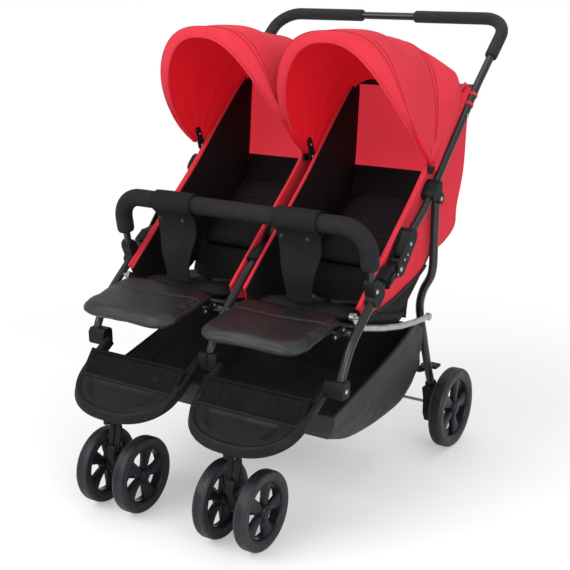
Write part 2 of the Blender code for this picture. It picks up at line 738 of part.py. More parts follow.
def calf_rest(x):
    """Padded board that tilts on the front cross tube, with two lugs that clip under the pad."""
    start = Vector((x, CALF_HINGE[0] + 0.020, CALF_HINGE[1] + CROSS_R + 0.0155))
    slope = math.radians(7.5)
    along = Vector((0.0, -math.cos(slope), -math.sin(slope)))
    pad = cushion(start, (-1, 0, 0), along, CALF_HALF, CALF_LENGTH + 0.02, CALF_THICK, 0.003, taper=0.03,
                  channels=(0.34,), corner=0.052)
    lugs = []
    for sign in (-1, 1):
        lug = capsule(CALF_HINGE, (start.y - 0.012, start.z - 0.004), 0.0125, 0.0080)
        place = x + sign * CALF_HALF * 0.72
        lugs.append(plate(lug, place - 0.006, place + 0.006))
    hinge_bore = tube([(x - 0.2, *CALF_HINGE), (x + 0.2, *CALF_HINGE)], CROSS_R + RUNNING, 10)
    return cut(join(pad, *lugs), hinge_bore)


SIDE_PANEL = [(0.256, 0.491), (0.380, 0.585), (0.525, 0.698), (0.600, 0.766), (0.622, 0.748), (0.600, 0.700),
              (0.588, 0.610), (0.570, 0.512), (0.460, 0.478), (0.351, 0.462), (0.270, 0.468)]


def side_panel(sign):
    """Red cloth side of the seat, inside the side tube, from the calf rest to the canopy."""
    centre = sign * PANEL_X
    return plate(SIDE_PANEL, centre - PANEL_THICK / 2, centre + PANEL_THICK / 2)


# Canopies
def canopy_reach(angle):
    """Height of the bow over the hinge, for its angle from straight back."""
    if angle > CANOPY_SPLIT_ANGLE:
        t = (angle - CANOPY_SPLIT_ANGLE) / (CANOPY_FRONT_ANGLE - CANOPY_SPLIT_ANGLE)
        return CANOPY_SPLIT_REACH + (CANOPY_FRONT_REACH - CANOPY_SPLIT_REACH) * t
    t = (CANOPY_SPLIT_ANGLE - angle) / (CANOPY_SPLIT_ANGLE - CANOPY_REAR_ANGLE)
    return CANOPY_SPLIT_REACH + (CANOPY_REAR_REACH - CANOPY_SPLIT_REACH) * t


def canopy_point(x, angle, t, inset):
    """A point of the canopy: t runs from one foot of the bow, over the top, to the other."""
    half = CANOPY_HALF - inset
    reach = canopy_reach(angle) - inset
    turn = math.pi * t
    across = -math.copysign(abs(math.cos(turn)) ** 0.72, math.cos(turn)) * half
    height = max(CANOPY_FOOT, math.sin(turn) ** 0.56 * reach)
    share = height / reach
    bulge = CANOPY_BULGE * 4 * share * (1 - share) * max(0.0, math.sin(angle - math.radians(40)))
    lean = Vector((math.cos(angle), math.sin(angle)))
    square = Vector((-math.sin(angle), math.cos(angle)))
    place = Vector(CANOPY_HINGE) + lean * height + square * bulge
    return Vector((x + across, place.x, place.y))


def canopy_shell(x, first, last, inset, spans, sides=12):
    angles = [first + (last - first) * k / spans for k in range(spans + 1)]
    shape = bmesh.new()
    skins = []
    for depth in (inset, inset + CANOPY_SKIN):
        skins.append([[shape.verts.new(canopy_point(x, a, k / sides, depth)) for k in range(sides + 1)]
                      for a in angles])
    outer, inner = skins
    for i in range(spans):
        for k in range(sides):
            shape.faces.new((outer[i][k], outer[i][k + 1], outer[i + 1][k + 1], outer[i + 1][k]))
            shape.faces.new((inner[i][k], inner[i + 1][k], inner[i + 1][k + 1], inner[i][k + 1]))
        shape.faces.new((outer[i][0], outer[i + 1][0], inner[i + 1][0], inner[i][0]))
        shape.faces.new((outer[i][sides], inner[i][sides], inner[i + 1][sides], outer[i + 1][sides]))
    for k in range(sides):
        shape.faces.new((outer[0][k], inner[0][k], inner[0][k + 1], outer[0][k + 1]))
        shape.faces.new((outer[spans][k], outer[spans][k + 1], inner[spans][k + 1], inner[spans][k]))
    bmesh.ops.recalc_face_normals(shape, faces=shape.faces)
    return shape


def canopy_front(x):
    shell = canopy_shell(x, CANOPY_FRONT_ANGLE, CANOPY_SPLIT_ANGLE - CANOPY_LAP, 0.0, 3)
    outer = CANOPY_HALF - CANOPY_SKIN * 0.2
    middle = (CANOPY_FRONT_ANGLE + CANOPY_SPLIT_ANGLE) / 2
    return join(shell, *canopy_ears(x, middle, outer, outer - CANOPY_SKIN))


def canopy_ears(x, angle, outer, inner):
    """The two flat feet of a canopy section, from its hinge up to the middle of its lower edge."""
    hinge = Vector(CANOPY_HINGE)
    tip = hinge + Vector((math.cos(angle), math.sin(angle))) * (CANOPY_FOOT + 0.012)
    outline = capsule(hinge, tip, CANOPY_HUB_R, CANOPY_HUB_R * 1.5)
    return [plate(outline, *sorted((x + sign * outer, x + sign * inner))) for sign in (-1, 1)]


def canopy_rear(x):
    """Rear section, which also has the clips that sit on the side tubes."""
    shell = canopy_shell(x, CANOPY_SPLIT_ANGLE + CANOPY_LAP, CANOPY_REAR_ANGLE, CANOPY_NEST, 3)
    hinge = Vector(CANOPY_HINGE)
    outer = CANOPY_HALF - CANOPY_SKIN * 1.2 - 2 * CLEAR
    inner = CANOPY_HALF - CANOPY_NEST - CANOPY_SKIN - 0.0010
    low, high = Vector(UPPER_TUBE[1]), Vector(UPPER_TUBE[2])
    along = (high - low).normalized()
    square = Vector((-along.y, along.x))
    beside = SEAT_X - outer
    over = (TUBE_R + CLEAR) * (1.0 - beside / TUBE_R * math.tan(math.pi / 8))  # the tube has eight flats
    seat = low + along * (hinge - low).dot(along) + square * (over + 0.0060)
    clips = []
    for sign in (-1, 1):
        clips.append(plate(capsule(seat, hinge, 0.0060, CANOPY_HUB_R * 0.9),
                           *sorted((x + sign * (outer - 0.0004), x + sign * (inner + 0.0004)))))
    return join(shell, *canopy_ears(x, (CANOPY_REAR_ANGLE + CANOPY_SPLIT_ANGLE) / 2, outer, inner), *clips)


REAR_PANEL = [(0.7985, 0.868), (0.788, 0.800), (0.778, 0.700)]  # over the boards' far end
REAR_POCKET = [(0.738, 0.570), (0.690, 0.545), (0.640, 0.534)]  # under the boards
REAR_HALF = 0.3145  # half the width of the cloth behind the backs
GUSSET_X = 0.3140
GUSSET = [(0.594, 0.560), (0.6015, 0.610), (0.612, 0.700), (0.6285, 0.7315), (0.747, 0.840)]  # its free edges


def rear_panel():
    """Cloth behind both backs, from the upper cross tube to the rear legs, with a gusset at each side."""
    top = (CENTRE_TOP[0] + CROSS_R + CLEAR + PANEL_THICK / 2, CENTRE_TOP[1])
    outward = Vector((math.sin(BACK_TILT), -math.cos(BACK_TILT)))
    rest = back_rest_edge() + (outward + Vector((1.0, 0.0))).normalized() * (PANEL_THICK / 2 + 2 * CLEAR)
    path = smooth_path([at(0.0, p) for p in (top, *REAR_PANEL, rest, *REAR_POCKET)], 2)
    cloth = sweep(path, rounded_box(2 * REAR_HALF, PANEL_THICK, 0.0015, 1), (0.0, 1.0, 0.0))
    outline = GUSSET + [(p.y, p.z) for p in path[1:]]
    gussets = [plate(outline, sign * GUSSET_X - PANEL_THICK / 2, sign * GUSSET_X + PANEL_THICK / 2)
               for sign in (-1, 1)]
    return join(cloth, *gussets)


# Basket, with its rim and its floor in the side view
BASKET_RIM = [(0.172, 0.268), (0.273, 0.289), (0.389, 0.315), (0.500, 0.346), (0.565, 0.371), (0.598, 0.345)]
BASKET_FLOOR = [(0.215, 0.190), (0.300, 0.160), (0.400, 0.148), (0.490, 0.147), (0.570, 0.153),
                (0.622, 0.174)]
BASKET_LOW = 0.2620  # half the width of the floor
BASKET_SKIN = 0.0035


def basket():
    """Open cloth tub under the seats, with sagging walls."""
    half_top = LINK_X - LINK_W / 2 - CLEAR
    levels = 2
    shape = bmesh.new()

    def ring(share, inset):
        """One level of the tub, as a closed loop seen from above."""
        points = []
        half = BASKET_LOW + (half_top - BASKET_LOW) * share - inset
        sag = 0.006 * math.sin(math.pi * share)
        line = [Vector(f).lerp(Vector(r), share) for f, r in zip(BASKET_FLOOR, BASKET_RIM)]
        first, last = line[0], line[-1]
        rise = inset * (1 - share)
        line = [first + Vector((inset, rise)), *[p + Vector((0, rise)) for p in line[1:-1]],
                last + Vector((-inset, rise))]
        for p in line:
            points.append((half + sag, p.x, p.y))
        for t in (0.6, 0.2, -0.2, -0.6):
            points.append((half * t, line[-1].x + sag * 0.5, line[-1].y - 0.004 * (1 - t * t)))
        for p in reversed(line):
            points.append((-half - sag, p.x, p.y))
        for t in (-0.6, -0.2, 0.2, 0.6):
            points.append((half * t, line[0].x - sag * 0.5, line[0].y - 0.004 * (1 - t * t)))
        return [shape.verts.new(p) for p in points]

    outer = [ring(k / levels, 0.0) for k in range(levels + 1)]
    inner = [ring(k / levels, BASKET_SKIN) for k in range(levels + 1)]
    count = len(outer[0])
    for low, high in zip(outer, outer[1:]):
        for k in range(count):
            shape.faces.new((low[k], low[(k + 1) % count], high[(k + 1) % count], high[k]))
    for low, high in zip(inner, inner[1:]):
        for k in range(count):
            shape.faces.new((low[k], high[k], high[(k + 1) % count], low[(k + 1) % count]))
    for k in range(count):
        n = (k + 1) % count
        shape.faces.new((outer[-1][k], outer[-1][n], inner[-1][n], inner[-1][k]))
    stations = len(BASKET_RIM)
    for loop in (outer[0], inner[0]):
        right = loop[:stations]
        back = loop[stations : stations + 4]
        left = loop[stations + 4 : 2 * stations + 4]
        front = loop[2 * stations + 4 :]
        left_forward = left[::-1]
        for k in range(1, stations - 2):
            shape.faces.new((right[k], right[k + 1], left_forward[k + 1], left_forward[k]))
        shape.faces.new((right[stations - 2], right[stations - 1], *back, left_forward[stations - 1],
                         left_forward[stations - 2]))
        shape.faces.new((right[1], left_forward[1], left_forward[0], *front, right[0]))
    bmesh.ops.recalc_face_normals(shape, faces=shape.faces)
    return shape


# Rear legs and brakes
def rear_leg(sign):
    """Steel leg: straight down from its hinge, stepped inwards and raked back to the axle."""
    points = []
    for index, p in enumerate(LEG_PATH):
        share = min(max((0.500 - p[1]) / (0.500 - 0.395), 0.0), 1.0)
        ease = share * share * (3 - 2 * share)
        points.append(at(sign * (SIDE_X + (LEG_LOW_X - SIDE_X) * ease), p))
    leg = tube(smooth_path(points, 2), LEG_R, 8, (1.0, 0.0, 0.0))
    eye = disc(at(sign * SIDE_X, LEG_HINGE), LEG_R + 0.002, -LEG_R + 0.0006, LEG_R - 0.0006, 14)
    return join(leg, eye)


def brake_housing(sign):
    """Moulded foot of the leg: a tapered block with the axle's bore and the leg's socket."""
    half_y, over, under = BRAKE_HOUSING
    y, z = REAR_WHEEL_Y, REAR_WHEEL_R
    outline = [(y - half_y, z - under * 0.5), (y - half_y * 0.55, z - under), (y + half_y * 0.55, z - under),
               (y + half_y, z - under * 0.5), (y + half_y, z + over * 0.45), (y + half_y * 0.30, z + over),
               (y - half_y * 1.30, z + over), (y - half_y, z + over * 0.40)]
    body = plate(outline, sign * BRAKE_X - BRAKE_W / 2, sign * BRAKE_X + BRAKE_W / 2)
    end, before = Vector(LEG_PATH[-1]), Vector(LEG_PATH[-2])
    up = (before - end).normalized()
    top = z + over
    reach = (top - end.y) / up.y
    x = sign * LEG_LOW_X
    collar = sweep([at(x, end + up * (reach - 0.010)), at(x, end + up * (reach + 0.016))],
                   circle(LEG_R + 0.0045, 14), (1.0, 0.0, 0.0))
    leg_bore = tube([at(x, end - up * CLEAR), at(x, end + up * (reach + 0.020))], LEG_R + 0.0006, 14,
                    (1.0, 0.0, 0.0))
    axle_bore = disc((0.0, y, z), AXLE_R + 0.0012, sign * BRAKE_X - BRAKE_W, sign * BRAKE_X + BRAKE_W, 14)
    return cut(join(body, collar), leg_bore, axle_bore)


def brake_bar():
    """Foot brake: a cross rod between the legs with a pedal arm at each end."""
    reach = LEG_LOW_X - LEG_R - RUNNING
    rod = tube([(-reach, *BRAKE_HINGE), (reach, *BRAKE_HINGE)], 0.0050)
    end = Vector(BRAKE_HINGE) + Vector((PEDAL_REACH, -0.012))
    shapes = []
    for sign in (-1, 1):
        x = sign * (LEG_LOW_X - LEG_R - 0.014)
        arm = capsule(BRAKE_HINGE, end, 0.0085, 0.0065)
        shapes.append(plate(arm, x - 0.0045, x + 0.0045))
        pedal = block((x - 0.022, end.x - 0.008, end.y - 0.003), (x + 0.022, end.x + 0.022, end.y + 0.004))
        shapes.append(pedal)
    return join(rod, *shapes)


def crotch_strap(x):
    """Cloth strap that wraps the bumper bar and runs down to the front of the seat."""
    top = Vector(BAR_TOP)
    foot = Vector((SEAT_FRONT[0] - 0.004, SEAT_FRONT[1] + 0.018))
    turn = math.radians(300) / STRAP_TURNS
    gap = roomy(PAD_R, CLEAR, 360 * STRAP_TURNS / 300)
    thick = STRAP_THICK
    path = []
    for k in range(STRAP_TURNS + 1):
        a = math.radians(-60) + turn * k
        path.append((top.x + (gap + thick / 2) * math.cos(a), top.y + (gap + thick / 2) * math.sin(a)))
    path += [(top.x + 0.002, top.y - 0.040), (top.x + 0.004, top.y - 0.075), (foot.x - 0.006, foot.y + 0.06),
             tuple(foot)]
    low = STRAP_LOW / STRAP_WIDE
    widths = [1.0] * (STRAP_TURNS + 1) + [0.92, low, low * 0.97, low]
    wide, thick = STRAP_WIDE / 2, thick / 2
    section = [(-wide, -thick), (wide, -thick), (wide, thick), (-wide, thick)]
    return sweep([at(x, p) for p in path], section, (0.0, 1.0, 0.0), widths=widths)


def fold_catch(sign):
    """Sliding catch on the outer face of the latch, which hooks over the upper cheek."""
    tube_end = Vector(LOWER_TUBE[-1])
    along = (tube_end - Vector(LOWER_TUBE[-2])).normalized()
    face = SIDE_X + LATCH_HALF + CLEAR
    body = plate(capsule(tube_end - along * 0.014, tube_end + along * 0.008, 0.0075, 0.0060),
                 *sorted((sign * face, sign * (face + CATCH_THICK))))
    grip = tube_end - along * 0.014
    pad = plate(capsule(grip - along * 0.002, grip + along * 0.002, 0.0048),
                *sorted((sign * (face + 0.001), sign * (face + CATCH_THICK + 0.0018))))
    return join(body, pad)


def build():
    clear_scene()
    root = Body("stroller", (0.0, 0.0, 0.0))
    front = Body("front_frame", at(0.0, FOLD_HINGE), root)
    seat = Body("seat_frame", at(0.0, SEAT_HINGE), front)
    bar = Body("bumper_bar", at(0.0, BAR_FOOT), front)
    legs = Body("rear_legs", at(0.0, LEG_HINGE), root)
    brake = Body("brake", at(0.0, BRAKE_HINGE), legs)

    root.add("handle_tube", tube(handle_path(), TUBE_R, 8, (1.0, 0.0, 0.0)), "frame_enamel")
    for side, sign in SIDES.items():
        grip = cut(sweep(grip_path(sign), circle(GRIP_R, 10)),
                   sweep(extended(grip_path(sign), 0.03), circle(TUBE_R + CLEAR + 0.0004, 10)))
        root.add("grip_" + side, grip, "foam")
    root.add("centre_upper_frame", centre_upper_frame(), "frame_enamel")
    front.add("front_centre_frame", front_centre_frame(), "frame_enamel")
    for side, x in (("left", -SIDE_X), ("centre", 0.0), ("right", SIDE_X)):
        root.add("latch_upper_" + side, latch_upper(x), "black_plastic")
        front.add("latch_lower_" + side, latch_lower(x), "black_plastic")
    for side, sign in SIDES.items():
        front.add("front_leg_" + side, lower_tube(sign * SIDE_X), "frame_enamel")
        front.add("bumper_socket_" + side, bumper_socket(sign * SIDE_X), "black_plastic")
        front.add("footrest_" + side, footrest(sign * CASTER_X, sign), "black_plastic")
        catch = Body("fold_catch_" + side, at(sign * SIDE_X, LOWER_TUBE[-1]), front)
        catch.add("fold_catch_" + side, fold_catch(sign), "black_plastic")
        root.add("leg_bracket_" + side, leg_bracket(sign * SIDE_X), "black_plastic")
        root.add("side_panel_" + side, side_panel(sign), "red_fabric")
        root.add("canopy_rear_" + side, canopy_rear(sign * SEAT_X), "red_fabric")
        canopy = Body("canopy_" + side, at(0.0, CANOPY_HINGE), root)
        canopy.add("canopy_front_" + side, canopy_front(sign * SEAT_X), "red_fabric")
        back = Body("back_" + side, at(sign * SEAT_X, BACK_HINGE), root)
        back.add("backrest_" + side, backrest(sign * SEAT_X), "black_fabric")
        calf = Body("calf_" + side, at(sign * SEAT_X, CALF_HINGE), front)
        calf.add("calf_rest_" + side, calf_rest(sign * SEAT_X), "black_leather")
        seat.add("seat_base_" + side, seat_base(sign * SEAT_X), "black_fabric")
        bar.add("crotch_strap_" + side, crotch_strap(sign * SEAT_X), "black_fabric")
    root.add("rear_panel", rear_panel(), "red_fabric")
    seat.add("seat_frame", seat_frame(), "steel")
    seat.add("basket", basket(), "black_fabric")

    bar.add("bumper_tube", tube(bar_path(), BAR_R, 8, (1.0, 0.0, 0.0)), "frame_enamel")
    pad = cut(sweep(pad_path(), circle(PAD_R, 10), (1.0, 0.0, 0.0)),
              sweep(extended(pad_path(), 0.02), circle(BAR_R + CLEAR, 8), (1.0, 0.0, 0.0)))
    bar.add("bumper_pad", pad, "black_fabric")

    for side, sign in SIDES.items():
        stem = Vector((sign * CASTER_X, 0.0, 0.0))
        caster = Body("caster_" + side, stem, front)
        caster.add("caster_fork_" + side, caster_fork(stem.x), "black_plastic")
        for place, step in (("inner", -sign), ("outer", sign)):
            centre = Vector((stem.x + step * FRONT_WHEEL_PITCH / 2, TRAIL, FRONT_WHEEL_R))
            wheel = Body("wheel_%s_%s" % (side, place), centre, caster)
            name = "%s_%s" % (side, place)
            hub_in = FRONT_WHEEL_W / 2 + 0.003
            rim = wheel_rim(centre, FRONT_WHEEL_R, FRONT_WHEEL_W, FRONT_WHEEL_W / 2, hub_in, step)
            wheel.add("front_rim_" + name, rim, "rim_plastic")
            wheel.add("front_tyre_" + name, tyre(centre, FRONT_WHEEL_R, FRONT_WHEEL_W), "tyre")

    axle_reach = SIDE_X + REAR_WHEEL_W / 2 - 0.006
    axle_ends = [(sign * axle_reach, REAR_WHEEL_Y, REAR_WHEEL_R) for sign in (-1, 1)]
    legs.add("rear_axle", tube(axle_ends, AXLE_R, 12), "steel")
    brake.add("brake_bar", brake_bar(), "black_plastic")
    for side, sign in SIDES.items():
        legs.add("rear_leg_" + side, rear_leg(sign), "frame_enamel")
        legs.add("brake_housing_" + side, brake_housing(sign), "black_plastic")
        centre = Vector((sign * SIDE_X, REAR_WHEEL_Y, REAR_WHEEL_R))
        wheel = Body("rear_wheel_" + side, centre, legs)
        hub_in = SIDE_X - BRAKE_X - BRAKE_W / 2 - RUNNING
        rim = wheel_rim(centre, REAR_WHEEL_R, REAR_WHEEL_W, REAR_WHEEL_W / 2, hub_in, sign)
        wheel.add("rear_rim_" + side, rim, "rim_plastic")
        wheel.add("rear_tyre_" + side, tyre(centre, REAR_WHEEL_R, REAR_WHEEL_W), "tyre")


build()
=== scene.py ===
import math

import bmesh
import bpy
from mathutils import Matrix, Vector, noise


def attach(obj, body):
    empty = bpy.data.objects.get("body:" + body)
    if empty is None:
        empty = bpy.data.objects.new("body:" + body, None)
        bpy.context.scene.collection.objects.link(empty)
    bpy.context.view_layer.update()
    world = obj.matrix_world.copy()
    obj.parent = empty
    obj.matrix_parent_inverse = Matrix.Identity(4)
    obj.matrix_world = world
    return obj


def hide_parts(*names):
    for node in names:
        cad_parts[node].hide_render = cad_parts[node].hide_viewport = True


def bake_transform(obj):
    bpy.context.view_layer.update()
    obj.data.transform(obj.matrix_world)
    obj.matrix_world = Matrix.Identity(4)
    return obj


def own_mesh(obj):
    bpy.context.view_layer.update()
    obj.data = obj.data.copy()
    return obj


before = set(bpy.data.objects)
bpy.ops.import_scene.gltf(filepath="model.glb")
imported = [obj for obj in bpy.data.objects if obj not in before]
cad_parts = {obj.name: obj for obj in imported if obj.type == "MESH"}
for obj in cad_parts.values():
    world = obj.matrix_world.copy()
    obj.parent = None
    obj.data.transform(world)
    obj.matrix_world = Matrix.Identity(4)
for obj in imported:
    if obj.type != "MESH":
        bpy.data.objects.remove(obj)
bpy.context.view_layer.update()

# Sizes in metres, in the side view's (Y, Z) measured from the caster stems
CENTRE_Y = 0.4655
SIDE_X, SEAT_X, CASTER_X = 0.335, 0.1675, 0.163
TUBE_R, CROSS_R, BAR_R, LEG_R = 0.0095, 0.008, 0.0085, 0.01
GRIP_R, PAD_R = 0.0155, 0.021
FOLD_HINGE, LEG_HINGE, CANOPY_HINGE = (0.388, 0.548), (0.584, 0.668), (0.573, 0.738)
CALF_HINGE, BACK_HINGE = (0.213, 0.445), (0.528, 0.492)
LOWER_TUBE = [(0.148, 0.352), (0.156, 0.374), (0.185, 0.419), (0.217, 0.449), (0.3, 0.512), (0.344, 0.541)]
UPPER_TUBE = [(0.437, 0.6), (0.531, 0.66), (0.62, 0.741), (0.739, 0.849), (0.801, 0.906)]
HANDLE_TOP, CENTRE_TOP = (0.98, 1.048), (0.792, 0.898)
BAR_TOP, BAR_FOOT = (0.258, 0.664), (0.281, 0.524)
SEAT_FRONT, SEAT_DEPTH, SEAT_DROP = (0.262, 0.46), 0.235, math.radians(-15)
BACK_LENGTH, BACK_TILT = 0.25, math.radians(32)
FRONT_R, FRONT_W, FRONT_PITCH, TRAIL = 0.089, 0.03, 0.105, 0.024
REAR_R, REAR_W, REAR_Y = 0.102, 0.035, 0.711
LEG_LOW_X = 0.288
LEG_PATH = [(0.584, 0.668), (0.582, 0.569), (0.578, 0.492), (0.593, 0.438), (0.613, 0.385),
            (0.636, 0.31), (0.662, 0.232), (0.694, 0.152)]
BASKET_RIM = [(0.172, 0.268), (0.273, 0.289), (0.389, 0.315), (0.5, 0.346), (0.565, 0.371), (0.598, 0.345)]
BASKET_FLOOR = [(0.215, 0.19), (0.3, 0.16), (0.4, 0.148), (0.49, 0.147), (0.57, 0.153), (0.622, 0.174)]
FOOTREST_NOSE, FOOTREST_ARM, FOOTREST_HALF = (-0.022, 0.238), (0.148, 0.337), 0.146
STEP, KICK_TOP, STEM_Z = (0.046, 0.287), (0.086, 0.337), 0.2235
SIDES = {"left": -1, "right": 1}
MIRROR, ACROSS = Vector((-1, 1, 1)), Vector((1, 0, 0))
HANDLE_BEND, BAR_BEND, GRIP_END_X, GRIP_DROP = 0.062, 0.06, 0.0775, 0.135
HOUSING_X = 0.015  # from a side tube's middle to the outer face of its hinge housing
CLOTH, THIN_CLOTH = 0.0022, 0.0018
BACK_X = 0.3145  # half the width of the cloth behind the backs
# The canopy's half width, and the angles in degrees of its opening, its two bows and its rear edge
CANOPY_X, OPENING, FRONT_BOW, REAR_BOW, CANOPY_END = 0.1641, 125.3, 118.2, 68.4, 39.0


def at(x, yz):
    """A point of the side view, in the row frame."""
    return Vector((x, yz[0] - CENTRE_Y, yz[1]))


# Materials
class Graph:
    """A material's nodes, with short calls to add and join them."""

    def __init__(self, name, colour, roughness, **settings):
        self.material = bpy.data.materials.new(name)
        self.material.use_nodes = True
        self.material.diffuse_color = (*colour, 1.0)
        self.tree = self.material.node_tree
        self.shader = self.tree.nodes["Principled BSDF"]
        self.shader.inputs["Base Color"].default_value = (*colour, 1.0)
        self.shader.inputs["Roughness"].default_value = roughness
        for key, value in settings.items():
            self.shader.inputs[key.replace("_", " ")].default_value = value
        self.place = self.tree.nodes.new("ShaderNodeTexCoord").outputs["Object"]
        self.bump = None

    def node(self, kind, sockets=(), **settings):
        made = self.tree.nodes.new("ShaderNode" + kind)
        for key, value in settings.items():
            setattr(made, key, value)
        for key, value in dict(sockets).items():
            if isinstance(value, bpy.types.NodeSocket):
                self.tree.links.new(value, made.inputs[key])
            else:
                made.inputs[key].default_value = value
        return made

    def sized(self, scale):
        """The object's coordinates, each drawn out by its own share."""
        return self.node("Mapping", {"Vector": self.place, "Scale": scale}).outputs["Vector"]

    def noise(self, scale, detail=3.0, rough=0.55):
        made = self.node("TexNoise", {"Vector": self.place, "Scale": scale, "Detail": detail, "Roughness": rough})
        return made.outputs["Fac"]

    def wave(self, scale, direction):
        sockets = {"Vector": self.place, "Scale": scale, "Distortion": 0.4, "Detail": 1.0, "Detail Scale": 3.0}
        return self.node("TexWave", sockets, wave_type="BANDS", bands_direction=direction).outputs["Fac"]

    def cells(self, scale, feature="F1"):
        return self.node("TexVoronoi", {"Vector": self.place, "Scale": scale}, feature=feature).outputs["Distance"]

    def math(self, operation, a, b=0.0):
        made = self.node("Math", operation=operation)
        for socket, value in zip(made.inputs, (a, b)):
            if isinstance(value, bpy.types.NodeSocket):
                self.tree.links.new(value, socket)
            else:
                socket.default_value = value
        return made.outputs[0]

    def ramp(self, value, low, high, out_low, out_high):
        made = self.node("MapRange", {"Value": value, "From Min": low, "From Max": high, "To Min": out_low,
                                      "To Max": out_high})
        return made.outputs["Result"]

    def colour(self, factor, first, second):
        made = self.node("Mix", data_type="RGBA")
        made.inputs[6].default_value = (*first, 1.0)
        made.inputs[7].default_value = (*second, 1.0)
        self.tree.links.new(factor, made.inputs[0])
        return made.outputs[2]

    def emboss(self, height, distance):
        sockets = {"Height": height, "Distance": distance, "Strength": 1.0}
        if self.bump is not None:
            sockets["Normal"] = self.bump
        self.bump = self.node("Bump", sockets).outputs["Normal"]
        self.tree.links.new(self.bump, self.shader.inputs["Normal"])

    def tone(self, value, first, second, low=0.3, high=0.7):
        """Base colour from the first to the second, as the value goes from low to high."""
        mixed = self.colour(self.ramp(value, low, high, 0.0, 1.0), first, second)
        self.tree.links.new(mixed, self.shader.inputs["Base Color"])

    def gloss(self, value, first, second, low=0.3, high=0.7):
        """Roughness from the first to the second, as the value goes from low to high."""
        self.tree.links.new(self.ramp(value, low, high, first, second), self.shader.inputs["Roughness"])


def cloth(name, dark, light, roughness, sheen, weave=520.0, creases=0.0011, glow=0.0):
    """Plain-woven cloth: crossing threads, uneven dye and soft creases, and a painted glow when glow is given."""
    g = Graph(name, light, roughness, Sheen_Weight=sheen, Sheen_Roughness=0.45, Specular_IOR_Level=0.12,
              Sheen_Tint=(*[min(1.0, c * 1.3) for c in light], 1.0))
    dye = g.math("ADD", g.math("MULTIPLY", g.noise(7.0, 4.0), 0.65), g.math("MULTIPLY", g.noise(420.0, 2.0), 0.35))
    g.tone(dye, dark, light, 0.34, 0.66)
    threads = g.math("MULTIPLY", g.wave(weave, "X"), g.wave(weave, "Z"))
    threads = g.math("ADD", threads, g.math("MULTIPLY", g.wave(weave, "Y"), g.wave(weave * 1.01, "DIAGONAL")))
    g.emboss(g.noise(17.0, 4.0, 0.5), creases)
    g.emboss(threads, 0.00016)
    g.gloss(g.noise(30.0), roughness - 0.06, roughness + 0.06)
    if glow:  # painted glow: emission that stands in for light coming through the thin cloth
        g.shader.inputs["Emission Color"].default_value = (*light, 1.0)
        g.shader.inputs["Emission Strength"].default_value = glow
    return g.material


def paint():
    g = Graph("tube_paint", (0.012, 0.012, 0.013), 0.3, Coat_Weight=0.2, Coat_Roughness=0.18,
              Specular_IOR_Level=0.35)
    g.gloss(g.noise(60.0, 5.0), 0.32, 0.46, 0.35, 0.75)
    g.tone(g.noise(240.0, 6.0, 0.7), (0.011, 0.011, 0.012), (0.02, 0.02, 0.021), 0.66, 0.74)
    g.emboss(g.noise(300.0, 2.0), 0.00001)
    return g.material


def metal():
    g = Graph("bright_steel", (0.42, 0.42, 0.42), 0.3, Metallic=1.0)
    sockets = {"Vector": g.sized((900.0, 60.0, 900.0)), "Scale": 1.0, "Detail": 3.0}
    brushed = g.node("TexNoise", sockets).outputs["Fac"]
    g.gloss(brushed, 0.2, 0.4)
    g.tone(g.noise(35.0), (0.36, 0.36, 0.36), (0.5, 0.5, 0.49))
    g.emboss(brushed, 0.00003)
    return g.material


def moulded(name, base, roughness, grain=1400.0, depth=0.00006, shine=0.16):
    g = Graph(name, base, roughness, Specular_IOR_Level=shine)
    g.emboss(g.cells(grain), depth)
    g.gloss(g.noise(25.0, 4.0), roughness - 0.07, roughness + 0.08)
    g.tone(g.noise(90.0, 6.0, 0.65), base, tuple(c * 1.9 + 0.004 for c in base), 0.55, 0.75)
    return g.material


def rubber():
    g = Graph("tyre_rubber", (0.012, 0.013, 0.016), 0.45, Specular_IOR_Level=0.34)
    g.tone(g.noise(45.0, 6.0, 0.7), (0.01, 0.011, 0.014), (0.02, 0.022, 0.026), 0.45, 0.75)
    g.gloss(g.noise(70.0, 3.0), 0.34, 0.54)
    g.emboss(g.noise(1200.0, 2.0), 0.00006)
    return g.material


def sponge():
    g = Graph("grip_foam", (0.014, 0.014, 0.016), 0.78, Sheen_Weight=0.05, Specular_IOR_Level=0.12)
    g.emboss(g.cells(900.0), 0.00022)
    g.tone(g.noise(160.0, 4.0), (0.013, 0.013, 0.015), (0.028, 0.028, 0.031))
    return g.material


def leather():
    g = Graph("soft_leather", (0.01, 0.009, 0.01), 0.36, Coat_Weight=0.05, Coat_Roughness=0.3,
              Specular_IOR_Level=0.4)
    g.emboss(g.noise(14.0, 3.0), 0.0009)
    g.emboss(g.ramp(g.cells(560.0, "DISTANCE_TO_EDGE"), 0.0, 0.22, 0.0, 1.0), 0.00016)
    g.gloss(g.noise(40.0, 4.0), 0.28, 0.44)
    g.tone(g.noise(12.0, 4.0), (0.004, 0.004, 0.005), (0.008, 0.008, 0.009), 0.35, 0.7)
    return g.material


def webbing():
    g = Graph("black_webbing", (0.012, 0.012, 0.014), 0.72, Sheen_Weight=0.1, Specular_IOR_Level=0.12)
    g.emboss(g.math("ADD", g.wave(260.0, "DIAGONAL"), g.wave(430.0, "X")), 0.00025)
    g.tone(g.noise(300.0), (0.01, 0.01, 0.012), (0.024, 0.024, 0.027))
    return g.material


